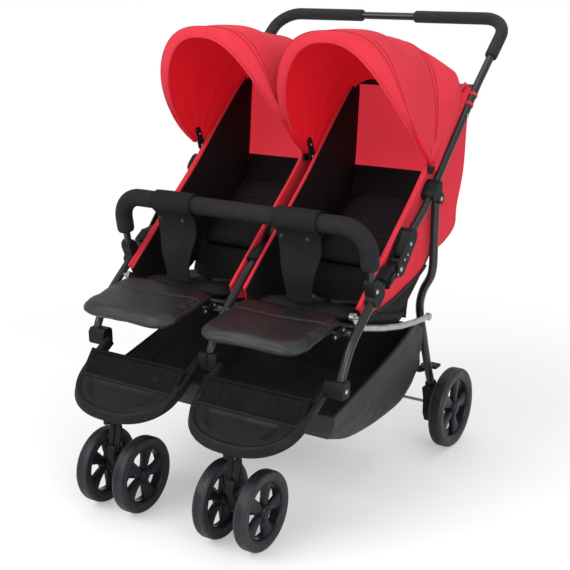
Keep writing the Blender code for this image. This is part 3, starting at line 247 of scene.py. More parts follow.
PAINT, STEEL = paint(), metal()
PLASTIC = moulded("black_moulding", (0.0055, 0.0062, 0.007), 0.52)
PANEL = moulded("panel_moulding", (0.0045, 0.0056, 0.0062), 0.6, shine=0.05)
RIM = moulded("wheel_moulding", (0.009, 0.01, 0.013), 0.24, 1800.0, 0.00002)
RUBBER, FOAM = rubber(), sponge()
# RED and RED_INNER glow: painted light from emission, for light coming through the thin red cloth
RED = cloth("red_cloth", (0.51, 0.023, 0.038), (0.6, 0.034, 0.054), 0.7, 0.18, glow=0.1)
# RED_LINING: the red cloth darkened as painted shade for the canopy's inside, with a stronger painted glow
RED_LINING = cloth("red_lining", (0.44, 0.005, 0.01), (0.52, 0.007, 0.015), 0.74, 0.05, 420.0, glow=0.44)
RED_INNER = cloth("red_inner", (0.5, 0.02, 0.034), (0.6, 0.032, 0.05), 0.72, 0.1, glow=0.66)
THREAD = cloth("red_thread", (0.32, 0.01, 0.018), (0.4, 0.014, 0.024), 0.75, 0.05)
BLACK = cloth("black_cloth", (0.006, 0.007, 0.008), (0.012, 0.013, 0.015), 0.72, 0.06)
LINING = cloth("black_lining", (0.005, 0.005, 0.006), (0.01, 0.009, 0.01), 0.66, 0.05, 360.0)
BASKET_CLOTH = cloth("basket_cloth", (0.022, 0.022, 0.025), (0.038, 0.038, 0.043), 0.46, 0.15, 300.0, 0.0022)
PAD_COVER = cloth("pad_cover", (0.01, 0.01, 0.012), (0.018, 0.018, 0.021), 0.66, 0.15, 380.0)
LEATHER, WEBBING = leather(), webbing()
dict.fromkeys((PLASTIC, PANEL), "black_plastic")
dict.fromkeys((RED, RED_LINING, RED_INNER, THREAD), "red_fabric")
dict.fromkeys((BLACK, LINING, BASKET_CLOTH, PAD_COVER, WEBBING), "black_fabric")


# Mesh helpers
def smooth(points, steps=6):
    """Points along a Catmull-Rom curve through the given ones."""
    points = [Vector(p) for p in points]
    padded = [2 * points[0] - points[1], *points, 2 * points[-1] - points[-2]]
    path = []
    for a, b, c, d in zip(padded, padded[1:], padded[2:], padded[3:]):
        for k in range(steps):
            t = k / steps
            path.append(0.5 * (2 * b + (c - a) * t + (2 * a - 5 * b + 4 * c - d) * t**2
                               + (3 * b - a - 3 * c + d) * t**3))
    path.append(points[-1])
    return path


def rounded(points, radius, steps=10):
    """A polyline with each inner corner turned into an arc."""
    path = [points[0]]
    for before, corner, after in zip(points, points[1:], points[2:]):
        first, second = (before - corner).normalized(), (after - corner).normalized()
        angle = first.angle(second)
        reach = radius / math.tan(angle / 2)
        centre = corner + (first + second).normalized() * radius / math.sin(angle / 2)
        start, end = corner + first * reach - centre, corner + second * reach - centre
        for k in range(steps + 1):
            path.append(centre + start.slerp(end, k / steps).normalized() * radius)
    path.append(points[-1])
    return path


def even(path, count):
    """The same line with evenly spaced points."""
    lengths = [0.0]
    for a, b in zip(path, path[1:]):
        lengths.append(lengths[-1] + (b - a).length)
    points, i = [], 0
    for k in range(count + 1):
        want = lengths[-1] * k / count
        while i < len(path) - 2 and lengths[i + 1] < want:
            i += 1
        share = (want - lengths[i]) / max(lengths[i + 1] - lengths[i], 1e-9)
        points.append(path[i].lerp(path[i + 1], share))
    return points



def curve(x, points, steps=6):
    """A smooth line through points of the side view, at one x."""
    return smooth([at(x, p) for p in points], steps)


def rail(x, points, count, steps=8):
    """The same with evenly spaced points."""
    return even(curve(x, points, steps), count)


def circle(radius, sides=20):
    turns = [2 * math.pi * k / sides for k in range(sides)]
    return [(radius * math.cos(a), radius * math.sin(a)) for a in turns]


def mirrored(half):
    """A profile's half from x = 0 outwards, with its mirror image before it."""
    return [(-x, radius) for x, radius in half[::-1]] + half


def soft_box(width, height, corner, steps=4):
    points = []
    for cx, cy, turn in ((1, 1, 0), (-1, 1, 1), (-1, -1, 2), (1, -1, 3)):
        for k in range(steps + 1):
            a = math.pi / 2 * (turn + k / steps)
            points.append((cx * (width / 2 - corner) + corner * math.cos(a),
                           cy * (height / 2 - corner) + corner * math.sin(a)))
    return points


def bands(shape, rings):
    """Faces between each ring of vertices and the next."""
    for low, high in zip(rings, rings[1:]):
        for k in range(len(low)):
            n = (k + 1) % len(low)
            shape.faces.new((low[k], low[n], high[n], high[k]))


def sweep(path, section, up=None, sizes=None, widths=None, closed=False):
    """The section carried along the path. Without an up direction it turns as little as it can."""
    shape = bmesh.new()
    count = len(path)
    rings, side = [], None
    for i, point in enumerate(path):
        before = path[(i - 1) % count if closed else max(i - 1, 0)]
        after = path[(i + 1) % count if closed else min(i + 1, count - 1)]
        ahead = (after - before).normalized()
        if up is not None:
            side = ahead.cross(Vector(up)).normalized()
        elif side is None:
            side = ahead.orthogonal().normalized()
        else:
            side = (side - ahead * side.dot(ahead)).normalized()
        over = side.cross(ahead)
        tall = sizes[i] if sizes else 1.0
        wide = widths[i] if widths else tall
        rings.append([shape.verts.new(point + side * u * wide + over * v * tall) for u, v in section])
    bands(shape, rings + rings[:1] if closed else rings)
    if not closed:
        shape.faces.new(rings[0][::-1])
        shape.faces.new(rings[-1])
    return shape


def lathe(profile, centre, steps=48, axis="X"):
    """A solid of revolution from (along, radius) pairs, end to end."""
    shape = bmesh.new()
    rings = []
    for along, radius in profile:
        ring = []
        for k in range(1 if radius < 1e-7 else steps):
            a = 2 * math.pi * k / steps
            u, v = radius * math.cos(a), radius * math.sin(a)
            offset = {"X": (along, u, v), "Z": (u, v, along), "Y": (u, along, v)}[axis]
            ring.append(shape.verts.new(centre + Vector(offset)))
        rings.append(ring)
    pairs = list(zip(rings, rings[1:]))
    if len(rings[0]) > 1:
        pairs.append((rings[-1], rings[0]))
    for low, high in pairs:
        for k in range(steps):
            n = (k + 1) % steps
            if len(low) == 1 and len(high) == 1:
                break
            if len(low) == 1:
                shape.faces.new((low[0], high[n], high[k]))
            elif len(high) == 1:
                shape.faces.new((low[k], low[n], high[0]))
            else:
                shape.faces.new((low[k], low[n], high[n], high[k]))
    return shape


def grid(place, rows, columns, mark=None):
    """A sheet through place(s, t), with s and t from 0 to 1. Mark gives each face its material number."""
    shape = bmesh.new()
    points = [[shape.verts.new(place(i / rows, j / columns)) for j in range(columns + 1)] for i in range(rows + 1)]
    for i in range(rows):
        for j in range(columns):
            face = shape.faces.new((points[i][j], points[i][j + 1], points[i + 1][j + 1], points[i + 1][j]))
            if mark:
                face.material_index = mark((i + 0.5) / rows, (j + 0.5) / columns)
    return shape


def plate(outline, low_x, high_x):
    """A side-view outline, in the row frame's (y, z), carried from one x to another."""
    shape = bmesh.new()
    near = [shape.verts.new((low_x, y, z)) for y, z in outline]
    far = [shape.verts.new((high_x, y, z)) for y, z in outline]
    shape.faces.new(near)
    shape.faces.new(far[::-1])
    for k in range(len(outline)):
        n = (k + 1) % len(outline)
        shape.faces.new((near[k], far[k], far[n], near[n]))
    return shape


def capsule(first, second, radius_one, radius_two, steps=9):
    """Outline round two circles in the side view, as row-frame (y, z)."""
    a, b = Vector(first), Vector(second)
    along = math.atan2(b.y - a.y, b.x - a.x)
    lean = math.acos(max(-1.0, min(1.0, (radius_one - radius_two) / max((b - a).length, 1e-6))))
    points = []
    for centre, radius, low, high in ((b, radius_two, along - lean, along + lean),
                                      (a, radius_one, along + lean, along + 2 * math.pi - lean)):
        for k in range(steps + 1):
            angle = low + (high - low) * k / steps
            points.append((centre.x + radius * math.cos(angle) - CENTRE_Y, centre.y + radius * math.sin(angle)))
    return points


def merged(*shapes):
    """Several shapes as one mesh."""
    whole = bmesh.new()
    for shape in shapes:
        spare = bpy.data.meshes.new("spare")
        shape.to_mesh(spare)
        whole.from_mesh(spare)
        shape.free()
        bpy.data.meshes.remove(spare)
    return whole


def piece(name, shape, materials, body=None, stands_for=(), angle=35, bevel=0.0, thick=0.0, offset=-1.0,
          orient=True):
    """Turns a shape into an object with its material, its body and the nodes that it stands for."""
    materials = materials if isinstance(materials, (list, tuple)) else [materials]
    if orient:
        bmesh.ops.recalc_face_normals(shape, faces=shape.faces)
    mesh = bpy.data.meshes.new(name)
    shape.to_mesh(mesh)
    shape.free()
    mesh.shade_smooth()
    mesh.set_sharp_from_angle(angle=math.radians(angle))
    for material in materials:
        mesh.materials.append(material)
    made = bpy.data.objects.new(name, mesh)
    bpy.context.scene.collection.objects.link(made)
    if thick:
        shell = made.modifiers.new("thickness", "SOLIDIFY")
        shell.thickness, shell.offset = thick, offset
        if len(materials) > 1:
            shell.material_offset, shell.material_offset_rim = 1, 0
    if bevel:
        edge = made.modifiers.new("edges", "BEVEL")
        edge.width, edge.segments, edge.limit_method, edge.angle_limit = bevel, 3, "ANGLE", math.radians(35)
    if stands_for:
        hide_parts(*stands_for)
    if body:
        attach(made, body)
    return made


def bake(made):
    """Applies an object's modifiers to its mesh."""
    mesh = bpy.data.meshes.new_from_object(made.evaluated_get(bpy.context.evaluated_depsgraph_get()))
    made.modifiers.clear()
    made.data = mesh
    return made


def rivet(name, centre, sign, body, radius=0.0055, height=0.0022):
    """A domed rivet head on a face that looks along X."""
    dome = [(sign * height * math.sin(a), radius * math.cos(a)) for a in (0.25, 0.55, 0.85, 1.15, 1.4)]
    profile = [(0.0, 0.0), (0.0, radius), *dome, (sign * height, 0.0)]
    piece(name, lathe(profile, centre, 24), STEEL, body, angle=60)


# Camera, floor and light
def stage():
    bpy.context.scene.view_settings.view_transform = "Standard"
    view = bpy.data.cameras.new("camera")
    view.lens, view.sensor_width, view.clip_end = 70.45, 36.0, 60.0
    camera = bpy.data.objects.new("camera", view)
    bpy.context.scene.collection.objects.link(camera)
    bpy.context.scene.camera = camera
    turn, tilt, roll = math.radians(32.8767), math.radians(16.8526), math.radians(-0.6029)
    distance, aside, above = 2.3257, 0.2484, 0.0562
    forward = Vector((-math.sin(turn) * math.cos(tilt), math.cos(turn) * math.cos(tilt), -math.sin(tilt)))
    right = Vector((math.cos(turn), math.sin(turn), 0.0))
    up = right.cross(forward)
    across = right * math.cos(roll) + up * math.sin(roll)
    over = up * math.cos(roll) - right * math.sin(roll)
    place = Vector((0.0, -CENTRE_Y, 0.5)) - forward * distance + across * aside + over * above
    camera.matrix_world = Matrix((
        (across.x, over.x, -forward.x, place.x), (across.y, over.y, -forward.y, place.y),
        (across.z, over.z, -forward.z, place.z), (0.0, 0.0, 0.0, 1.0)))

    shape = bmesh.new()
    corners = [shape.verts.new(p) for p in ((-9, -9, 0), (9, -9, 0), (9, 9, 0), (-9, 9, 0))]
    shape.faces.new(corners)
    mesh = bpy.data.meshes.new("floor")
    shape.to_mesh(mesh)
    shape.free()
    floor = bpy.data.objects.new("floor", mesh)
    bpy.context.scene.collection.objects.link(floor)
    g = Graph("pale_floor", (0.86, 0.86, 0.86), 0.65)
    g.tone(g.noise(2.0), (0.84, 0.84, 0.84), (0.88, 0.88, 0.88))
    seen = g.node("LightPath").outputs["Is Camera Ray"]
    glow = g.node("Emission", {"Color": (1.0, 1.0, 1.0, 1.0), "Strength": 1.0}).outputs["Emission"]
    mix = g.node("MixShader")
    reach = g.node("VectorMath", operation="LENGTH")
    g.tree.links.new(g.place, reach.inputs[0])
    fade = g.ramp(reach.outputs["Value"], 0.7, 1.5, 0.35, 1.0)  # white far away, with the shadow near
    g.tree.links.new(g.math("MULTIPLY", seen, fade), mix.inputs[0])
    g.tree.links.new(g.shader.outputs["BSDF"], mix.inputs[1])
    g.tree.links.new(glow, mix.inputs[2])
    g.tree.links.new(mix.outputs[0], g.tree.nodes["Material Output"].inputs["Surface"])
    mesh.materials.append(g.material)

    world = bpy.data.worlds.new("world")
    bpy.context.scene.world = world
    world.use_nodes = True
    tree = world.node_tree
    back = tree.nodes["Background"]
    back.inputs["Color"].default_value = (1.0, 1.0, 1.0, 1.0)
    rays = tree.nodes.new("ShaderNodeLightPath")
    either = tree.nodes.new("ShaderNodeMath")
    either.operation = "MAXIMUM"
    tree.links.new(rays.outputs["Is Camera Ray"], either.inputs[0])
    tree.links.new(rays.outputs["Is Transmission Ray"], either.inputs[1])
    level = tree.nodes.new("ShaderNodeMapRange")
    level.inputs["To Min"].default_value = 0.62  # the world's light; rays that see it get 1
    level.inputs["To Max"].default_value = 1.0
    tree.links.new(either.outputs[0], level.inputs["Value"])
    tree.links.new(level.outputs["Result"], back.inputs["Strength"])

    aim = Vector((0.0, 0.0, 0.5))
    lamps = (("key", (-1.2, -2.6, 2.8), 2.4, 95.0), ("fill", (2.8, -1.9, 1.7), 2.2, 62.0),
             ("top", (0.2, 0.9, 3.4), 2.6, 34.0))
    for name, spot, size, power in lamps:
        lamp = bpy.data.lights.new(name, "AREA")
        lamp.shape, lamp.size, lamp.energy = "SQUARE", size, power
        held = bpy.data.objects.new(name, lamp)
        bpy.context.scene.collection.objects.link(held)
        held.location = spot
        held.rotation_euler = (aim - Vector(spot)).to_track_quat("-Z", "Y").to_euler()


# Frame
def frame_tubes():
    side, corner = curve(SIDE_X, UPPER_TUBE), at(SIDE_X, HANDLE_TOP)
    bend = rounded([side[-1], corner, corner * MIRROR, side[-1] * MIRROR], HANDLE_BEND)
    path = side[:-1] + bend + [p * MIRROR for p in side[-2::-1]]
    piece("handle_frame", sweep(path, circle(TUBE_R)), PAINT, "upper_frame", ["handle_tube"])
    for name, sign in SIDES.items():
        top = at(sign * SIDE_X, HANDLE_TOP)
        down = (at(sign * SIDE_X, UPPER_TUBE[-1]) - top).normalized()
        path = [Vector((sign * GRIP_END_X, top.y, top.z)), top, top + down * GRIP_DROP]
        path = fine_ends(rounded(path, HANDLE_BEND, 14))
        sizes = [0.86, 0.965, *[1.0] * (len(path) - 4), 0.965, 0.86]
        piece("foam_grip_" + name, sweep(path, circle(GRIP_R, 28), sizes=sizes), FOAM, "upper_frame",
              ["grip_" + name])
        piece("side_leg_" + name, sweep(curve(sign * SIDE_X, LOWER_TUBE), circle(TUBE_R)), PAINT, "front_frame",
              ["front_leg_" + name])
    reach = SIDE_X - TUBE_R - 0.0003
    for name, line, end, body, node in (
            ("centre_back_tube", UPPER_TUBE[:-1] + [CENTRE_TOP], CENTRE_TOP, "upper_frame", "centre_upper_frame"),
            ("centre_front_tube", LOWER_TUBE, CALF_HINGE, "front_frame", "front_centre_frame")):
        cross = sweep([at(-reach, end), at(reach, end)], circle(CROSS_R))
        piece(name, merged(sweep(curve(0.0, line), circle(TUBE_R)), cross), PAINT, body, [node])
    bend_top, bend_drop = 0.5, 0.105  # where the rear legs turn inwards
    for name, sign in SIDES.items():
        points = []
        for p in LEG_PATH:
            share = min(max((bend_top - p[1]) / bend_drop, 0.0), 1.0)
            ease = share * share * (3 - 2 * share)
            points.append(at(sign * (SIDE_X + (LEG_LOW_X - SIDE_X) * ease), p))
        eye = lathe(mirrored([(0.0086, 0.012), (0.0094, 0.011), (0.0094, 0.0)]), at(sign * SIDE_X, LEG_HINGE), 32)
        piece("back_leg_" + name, merged(sweep(smooth(points), circle(LEG_R)), eye), PAINT, "rear_legs",
              ["rear_leg_" + name])


def fine_ends(path):
    """Adds two points near each end, so that an end can be rounded."""
    first, last = path[0], path[-1]
    start, end = (path[1] - first).normalized(), (path[-2] - last).normalized()
    return [first, first + start * 0.0022, first + start * 0.006, *path[1:-1], last + end * 0.006,
            last + end * 0.0022, last]


def carried_over():
    """CAD nodes that stay, with a weld, soft edges and their own material."""
    paired = ("latch_upper", "latch_lower", "leg_bracket", "bumper_socket", "fold_catch", "brake_housing")
    plastic = ["%s_%s" % (name, side) for name in paired for side in SIDES]
    plastic += ["latch_upper_centre", "latch_lower_centre", "brake_bar"]
    for name in plastic + ["rear_axle", "seat_frame"]:
        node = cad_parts[name]
        node.data.materials.clear()
        node.data.materials.append(PLASTIC if name in plastic else STEEL)
        node.modifiers.new("join", "WELD").merge_threshold = 0.00002
        edge = node.modifiers.new("edges", "BEVEL")
        edge.width, edge.segments, edge.limit_method, edge.angle_limit = 0.0011, 2, "ANGLE", math.radians(38)
    for name, sign in SIDES.items():
        def stud(label, reach, spot, *sizes, body="upper_frame"):
            rivet("%s_%s" % (label, name), at(sign * (SIDE_X + reach), spot), sign, body, *sizes)

        stud("fold_rivet", HOUSING_X, FOLD_HINGE)
        stud("leg_rivet", 0.0157, LEG_HINGE)
        stud("bar_rivet", 0.013, BAR_FOOT, body="front_frame")
        stud("latch_rivet", HOUSING_X, (0.432, 0.5955), 0.0045)
        for k, spot in enumerate(((0.372, 0.54), (0.404, 0.566), (0.418, 0.574))):
            stud("lock_rivet_%d" % k, HOUSING_X, spot, 0.003, 0.0014)
        rivet("housing_rivet_" + name, at(sign * 0.268, (REAR_Y - 0.004, 0.132)), -sign, "rear_legs", 0.005)
    rivet("fold_rivet_centre", at(HOUSING_X, FOLD_HINGE), 1, "upper_frame")


def wheel(row, name, centre, radius, width, sign, hub_in):
    """Tyre, rim ring with a lip, five paddle spokes, hub and cap."""
    body = "%s_wheel_%s" % (row, name)
    half, inner = width / 2, radius * (1.0 - 0.235)
    tread, sunk = radius - 0.0006, radius - 0.0016
    shoulder = [(half * 0.8, inner - 0.001), (half * 0.93, inner + 0.002), (half, inner + 0.007)]
    for k in range(7):
        a = math.pi / 2 * k / 6
        shoulder.append((half * (0.52 + 0.48 * math.cos(a)), tread - width * 0.24 * (1 - math.sin(a))))
    tyre = [(-x, r) for x, r in shoulder]
    for groove in (-0.3, -0.02, 0.3):
        tyre += [(half * (groove + x), r) for x, r in ((-0.06, tread), (-0.03, sunk), (0.03, sunk), (0.06, tread))]
    tyre += shoulder[::-1]
    piece("tyre_%s_%s" % (row, name), lathe(tyre, centre, 72), RUBBER, body, ["%s_tyre_%s" % (row, name)], angle=50)
    lip, wall = half * 0.84, 0.0065
    ring = lathe([(-lip, inner - wall), (-lip, inner - 0.001), (-lip + 0.001, inner), (lip - 0.001, inner),
                  (lip, inner - 0.001), (lip, inner - 0.004), (lip - 0.0022, inner - wall),
                  (lip - 0.007, inner - wall - 0.001), (-lip + 0.007, inner - wall - 0.001),
                  (-lip + 0.0022, inner - wall)], centre, 72)
    hub_r, bore = 0.0168, 0.0048
    out, back = sign * half * 0.96, -sign * hub_in
    hub = lathe([(back, bore), (back, hub_r * 0.72), (-sign * half * 0.5, hub_r), (sign * half * 0.42, hub_r),
                 (out * 0.8, hub_r * 0.94), (out, hub_r * 0.8), (out, hub_r * 0.62), (out * 0.93, hub_r * 0.56),
                 (out * 0.93, bore)], centre, 40)
    cap = lathe([(out * 0.9, 0.0), (out * 0.9, hub_r * 0.54), (out, hub_r * 0.5),
                 (out + sign * 0.0014, hub_r * 0.34), (out + sign * 0.0018, 0.0)], centre, 32)
    spokes = [paddle(centre, hub_r * 0.75, inner - wall, half, sign, 2 * math.pi * k / 5 + 0.3) for k in range(5)]
    piece("rim_%s_%s" % (row, name), merged(ring, hub, cap, *spokes), RIM, body, ["%s_rim_%s" % (row, name)],
          angle=40)


def paddle(centre, near, far, half, sign, turn):
    """A broad spoke, pinched at the hub, flared at the ring and crowned on both faces."""
    radial = Vector((0, math.sin(turn), math.cos(turn)))
    tangent = Vector((0, math.cos(turn), -math.sin(turn)))

    def skin(face):
        def place(s, t):
            u = 2 * t - 1
            width = 0.006 + (0.0118 * (far / 0.062)) * s**0.75 + 0.005 * s**7
            crown = 0.0026 * (1 - u * u) - 0.0015 * (1 - abs(2 * s - 1))
            depth = half * (0.52 - 0.08 * s) * (0.86 + 0.14 * (1 - u**6)) + crown
            bend = 0.0022 * math.sin(math.pi * s)
            return (centre + radial * (near + (far - near) * s) + tangent * (width * u + bend)
                    + Vector((sign * face * depth, 0, 0)))
        return place

    whole = merged(grid(skin(1), 8, 8), grid(skin(-0.55), 8, 8))
    bmesh.ops.bridge_loops(whole, edges=[e for e in whole.edges if e.is_boundary])
    return whole


def rolling_gear():
    """Caster forks with barrel, axle, neck, stem, two struts and a cradle, and all the wheels."""
    for side, sign in SIDES.items():
        x = sign * CASTER_X
        axle = at(x, (TRAIL, FRONT_R))
        gap, reach = (FRONT_PITCH - FRONT_W) / 2, FRONT_PITCH / 2 + FRONT_W / 2 - 0.006
        barrel = [(0.02, 0.018), (gap - 0.005, 0.015), (gap - 0.0035, 0.014), (gap - 0.0035, 0.0)]
        neck = curve(x, [(0.0, 0.156), (-0.004, 0.142), (0.004, 0.122), (TRAIL, FRONT_R)])
        stem = [(-0.0105, 0.0), (-0.0105, 0.0125), (-0.009, 0.0146), (-0.003, 0.015), (0.0, 0.0146), (0.0, 0.0)]
        shapes = [lathe(mirrored(barrel), axle, 40), lathe(mirrored([(reach, 0.004), (reach, 0.0)]), axle, 20),
                  sweep(neck, soft_box(0.034, 0.026, 0.009), ACROSS), lathe(stem, at(x, (0.0, STEM_Z)), 40, "Z")]
        strut = [(0.0085, 0.003, STEM_Z - 0.004), (0.0102, 0.006, 0.195), (0.0098, 0.0, 0.172),
                 (0.0085, -0.004, 0.148)]
        for step in (-1, 1):
            route = smooth([at(x + step * out, (y, z)) for out, y, z in strut])
            shapes.append(sweep(route, soft_box(0.0092, 0.015, 0.0038), ACROSS))
        cradle, sizes = [], []
        for k in range(17):
            a = math.pi * (1.0 + k / 16)
            spot = (-0.006 + 0.002 * math.sin(a), 0.158 + 0.03 * math.sin(a))
            cradle.append(at(x + 0.029 * math.cos(a), spot))
            sizes.append(0.55 + 0.45 * math.sin(math.pi * k / 16) ** 0.5)
        shapes.append(sweep(cradle, soft_box(0.013, 0.01, 0.004), (0.0, 1.0, 0.0), sizes))
        piece("swivel_fork_" + side, merged(*shapes), PLASTIC, "caster_" + side, ["caster_fork_" + side], angle=40)
        for place, step in (("inner", -sign), ("outer", sign)):
            centre = axle + Vector((step * FRONT_PITCH / 2, 0, 0))
            wheel("front", "%s_%s" % (side, place), centre, FRONT_R, FRONT_W, step, FRONT_W / 2 + 0.003)
        to_housing = SIDE_X - 0.285 - 0.017 - 0.0005
        wheel("rear", side, at(sign * SIDE_X, (REAR_Y, REAR_R)), REAR_R, REAR_W, sign, to_housing)


def footrest_path(x, steps):
    nose, arm = Vector(FOOTREST_NOSE), Vector(FOOTREST_ARM)
    path = []
    for k in range(steps + 1):
        a = math.pi * k / steps
        across = -math.cos(a) * (1.0 - 0.1 * math.cos(a) ** 8)
        side = math.copysign(abs(across) ** 0.82, across) * FOOTREST_HALF
        path.append(at(x + side, arm.lerp(nose, max(0.0, math.sin(a)) ** 0.62)))
    return path


def tread(x, outline):
    """The footrest's floor, in rings towards its middle, with a sunk field."""
    step_y = STEP[0] - CENTRE_Y
    middle = Vector((x, (STEP[0] + FOOTREST_NOSE[0]) / 2 - CENTRE_Y, 0))
    shape, rings = bmesh.new(), []
    for share in (1.0, 0.92, 0.84, 0.72, 0.68, 0.55, 0.35, 0.12):
        ring = []
        for p in outline:
            spot = middle + (p - middle) * share * 0.985
            slope = (step_y - spot.y) / (STEP[0] - FOOTREST_NOSE[0])
            z = STEP[1] + 0.003 + (FOOTREST_NOSE[1] + 0.008 - STEP[1]) * slope - (0.0026 if share < 0.7 else 0.0)
            ring.append(shape.verts.new((spot.x, spot.y, z)))
        rings.append(ring)
    bands(shape, rings)
    shape.faces.new(rings[-1])
    return shape


def footrests():
    step_y, ribs = STEP[0] - CENTRE_Y, 34
    up = (Vector(KICK_TOP) - Vector(STEP)).normalized()
    out = Vector((-up.y, up.x))
    ridge = [(-0.004, -0.003), (-0.004, 0.003), (-0.001, 0.006), (0.004, 0.0065), (0.007, 0.003), (0.007, -0.003)]
    rib = [(-0.0052, -0.002), (-0.0052, 0.0025), (-0.002, 0.0052), (0.0, -0.002)]
    y, z, ear_top = FOOTREST_ARM[0] - CENTRE_Y, FOOTREST_ARM[1], LOWER_TUBE[0][1] + 0.013
    ear = [(y - 0.016, z - 0.008), (y - 0.011, z - 0.012), (y + 0.015, z - 0.012), (y + 0.019, z - 0.007),
           (y + 0.019, ear_top - 0.006), (y + 0.014, ear_top), (y - 0.009, ear_top), (y - 0.016, ear_top - 0.01)]
    for side, sign in SIDES.items():
        x = sign * CASTER_X
        outline = [p for p in footrest_path(x, 96) if p.y < step_y]
        half = max(abs(p.x - x) for p in outline)
        outline += [Vector((x + half * (1 - k / 6), step_y + 0.004, 0)) for k in range(13)]
        piece("tread_" + side, tread(x, outline), PLASTIC, "front_frame", thick=0.005, angle=50)

        def kick(s, t):
            u = 2 * t - 1
            sunk = min(1.0, max(0.0, min(1 - abs(u) / 0.9, (s - 0.1) / 0.8, (0.9 - s) / 0.8) * 26))
            spot = Vector(STEP) - out * (0.003 + 0.0035 * sunk) + up * (0.067 * s)
            return at(x + u * (FOOTREST_HALF * 0.93), spot)

        piece("kick_plate_" + side, grid(kick, 40, 60), PANEL, "front_frame", thick=0.0035, angle=28)
        shapes = [sweep(footrest_path(x, 48), soft_box(0.02, 0.026, 0.007), (0.0, 0.35, 1.0)),
                  plate([(step_y + a, STEP[1] + b) for a, b in ridge], x - half, x + half)]
        for k in range(ribs):
            spot = x + half * (2 * (k + 0.5) / ribs - 1) * 0.94
            shapes.append(plate([(step_y + a, STEP[1] + b) for a, b in rib], spot - 0.0018, spot + 0.0018))
        piece("foot_rim_" + side, merged(*shapes), PLASTIC, "front_frame", ["footrest_" + side], angle=40)
        blocks = []
        for step in (-1, 1):
            far = SIDE_X * sign + step * 0.014 if step == sign else sign * 0.0003
            blocks.append(plate(ear, *sorted((x + step * (FOOTREST_HALF - 0.008), far))))
        piece("foot_socket_" + side, merged(*blocks), PLASTIC, "front_frame", bevel=0.0048)
        rivet("foot_rivet_" + side, at(sign * (SIDE_X + 0.0138), (0.15, 0.342)), sign, "front_frame")
        boss = lathe([(STEM_Z + 0.0005, 0.0), (STEM_Z + 0.0005, 0.0165), (STEM_Z + 0.002, 0.0172),
                      (0.246, 0.015), (0.25, 0.014), (0.25, 0.0)], at(x, (0.0, 0.0)), 40, "Z")
        pin = lathe([(STEM_Z - 0.006, 0.0), (STEM_Z - 0.006, 0.006), (STEM_Z - 0.005, 0.007),
                     (0.234, 0.007), (0.235, 0.0)], at(x, (-0.0235, 0.0)), 24, "Z")
        piece("swivel_boss_" + side, merged(boss, pin), PLASTIC, "front_frame", angle=40)


# Bumper bar
def bumper():
    foot, corner = at(SIDE_X, BAR_FOOT), at(SIDE_X, BAR_TOP)
    path = rounded([foot, corner, corner * MIRROR, foot * MIRROR], BAR_BEND, 12)
    piece("bar_tube", sweep(path, circle(BAR_R)), PAINT, "bumper_bar", ["bumper_tube"])
    end, stations = corner + (foot - corner).normalized() * 0.092, 260
    path = even(rounded([end, corner, corner * MIRROR, end * MIRROR], BAR_BEND, 16), stations)
    sizes = []
    for i, p in enumerate(path):
        size = 0.985 + 0.012 * noise.noise(Vector((p.x * 18, p.z * 22, 3.0)))
        share = min(i, len(path) - 1 - i) / stations
        if share > 0.08:
            for seam in (0.275, 0.2265, 0.1085):
                size -= 0.085 * math.exp(-((abs(p.x) - seam) / 0.0018) ** 2)
        size -= 0.03 * math.exp(-(p.x / 0.0016) ** 2)
        sizes.append(size - 0.16 * math.exp(-share / 0.004))
    made = piece("bar_cover", sweep(path, circle(PAD_R, 36), sizes=sizes), PAD_COVER, "bumper_bar", ["bumper_pad"],
                 angle=70)


def crotch_straps():
    """Cloth that wraps the bar, narrows below it and hangs to the seat's front, with two snaps."""
    top, radius, rows, wrap = Vector(BAR_TOP), PAD_R + 0.003, 90, 0.52
    foot = Vector((SEAT_FRONT[0] - 0.004, SEAT_FRONT[1] + 0.018))
    line = []
    for k in range(31):
        a = math.radians(-80 + 320 * k / 30)
        line.append(Vector((0, top.x + radius * math.cos(a), top.y + radius * math.sin(a))))
    line += smooth([line[-1], (0, top.x - 0.001, top.y - 0.04), (0, top.x + 0.004, top.y - 0.075),
                    (0, foot.x - 0.006, foot.y + 0.06), (0, foot.x, foot.y)])[1:]
    line = even(line, rows)
    snap = [(0.0, 0.0), (0.0, 0.0042), (-0.0012, 0.004), (-0.0016, 0.0028), (-0.0011, 0.0015), (-0.0014, 0.0)]
    for side, sign in SIDES.items():
        x = sign * SEAT_X

        def place(s, t):
            p = line[round(s * rows)]
            u = 2 * t - 1
            low = min(max((s - wrap - 0.04) / 0.4, 0.0), 1.0)
            half = 0.054 + (0.033 - 0.054) * low * low * (3 - 2 * low)
            puff = 0.0009 * math.cos(u * math.pi / 2) * (1 - low)
            ripple = 0.0007 * noise.noise(Vector((u * 2.5 + x * 40, s * 9, 1.0)))
            lift = Vector((0, p.y - top.x, p.z - top.y)).normalized() * (puff + ripple)
            return Vector((x + half * u, p.y - CENTRE_Y, p.z)) + lift

        made = bake(piece("strap_cover_" + side, grid(place, rows, 26), BLACK, None, ["crotch_strap_" + side],
                          thick=0.003, offset=0.0))
        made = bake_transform(made)
        for label, step in (("in", -1), ("out", 1)):
            spot = at(x + step * 0.033, (top.x - 0.0195, top.y - 0.0345))
            piece("snap_%s_%s" % (side, label), lathe(snap, spot, 20, "Y"), PAINT, "bumper_bar", angle=60)


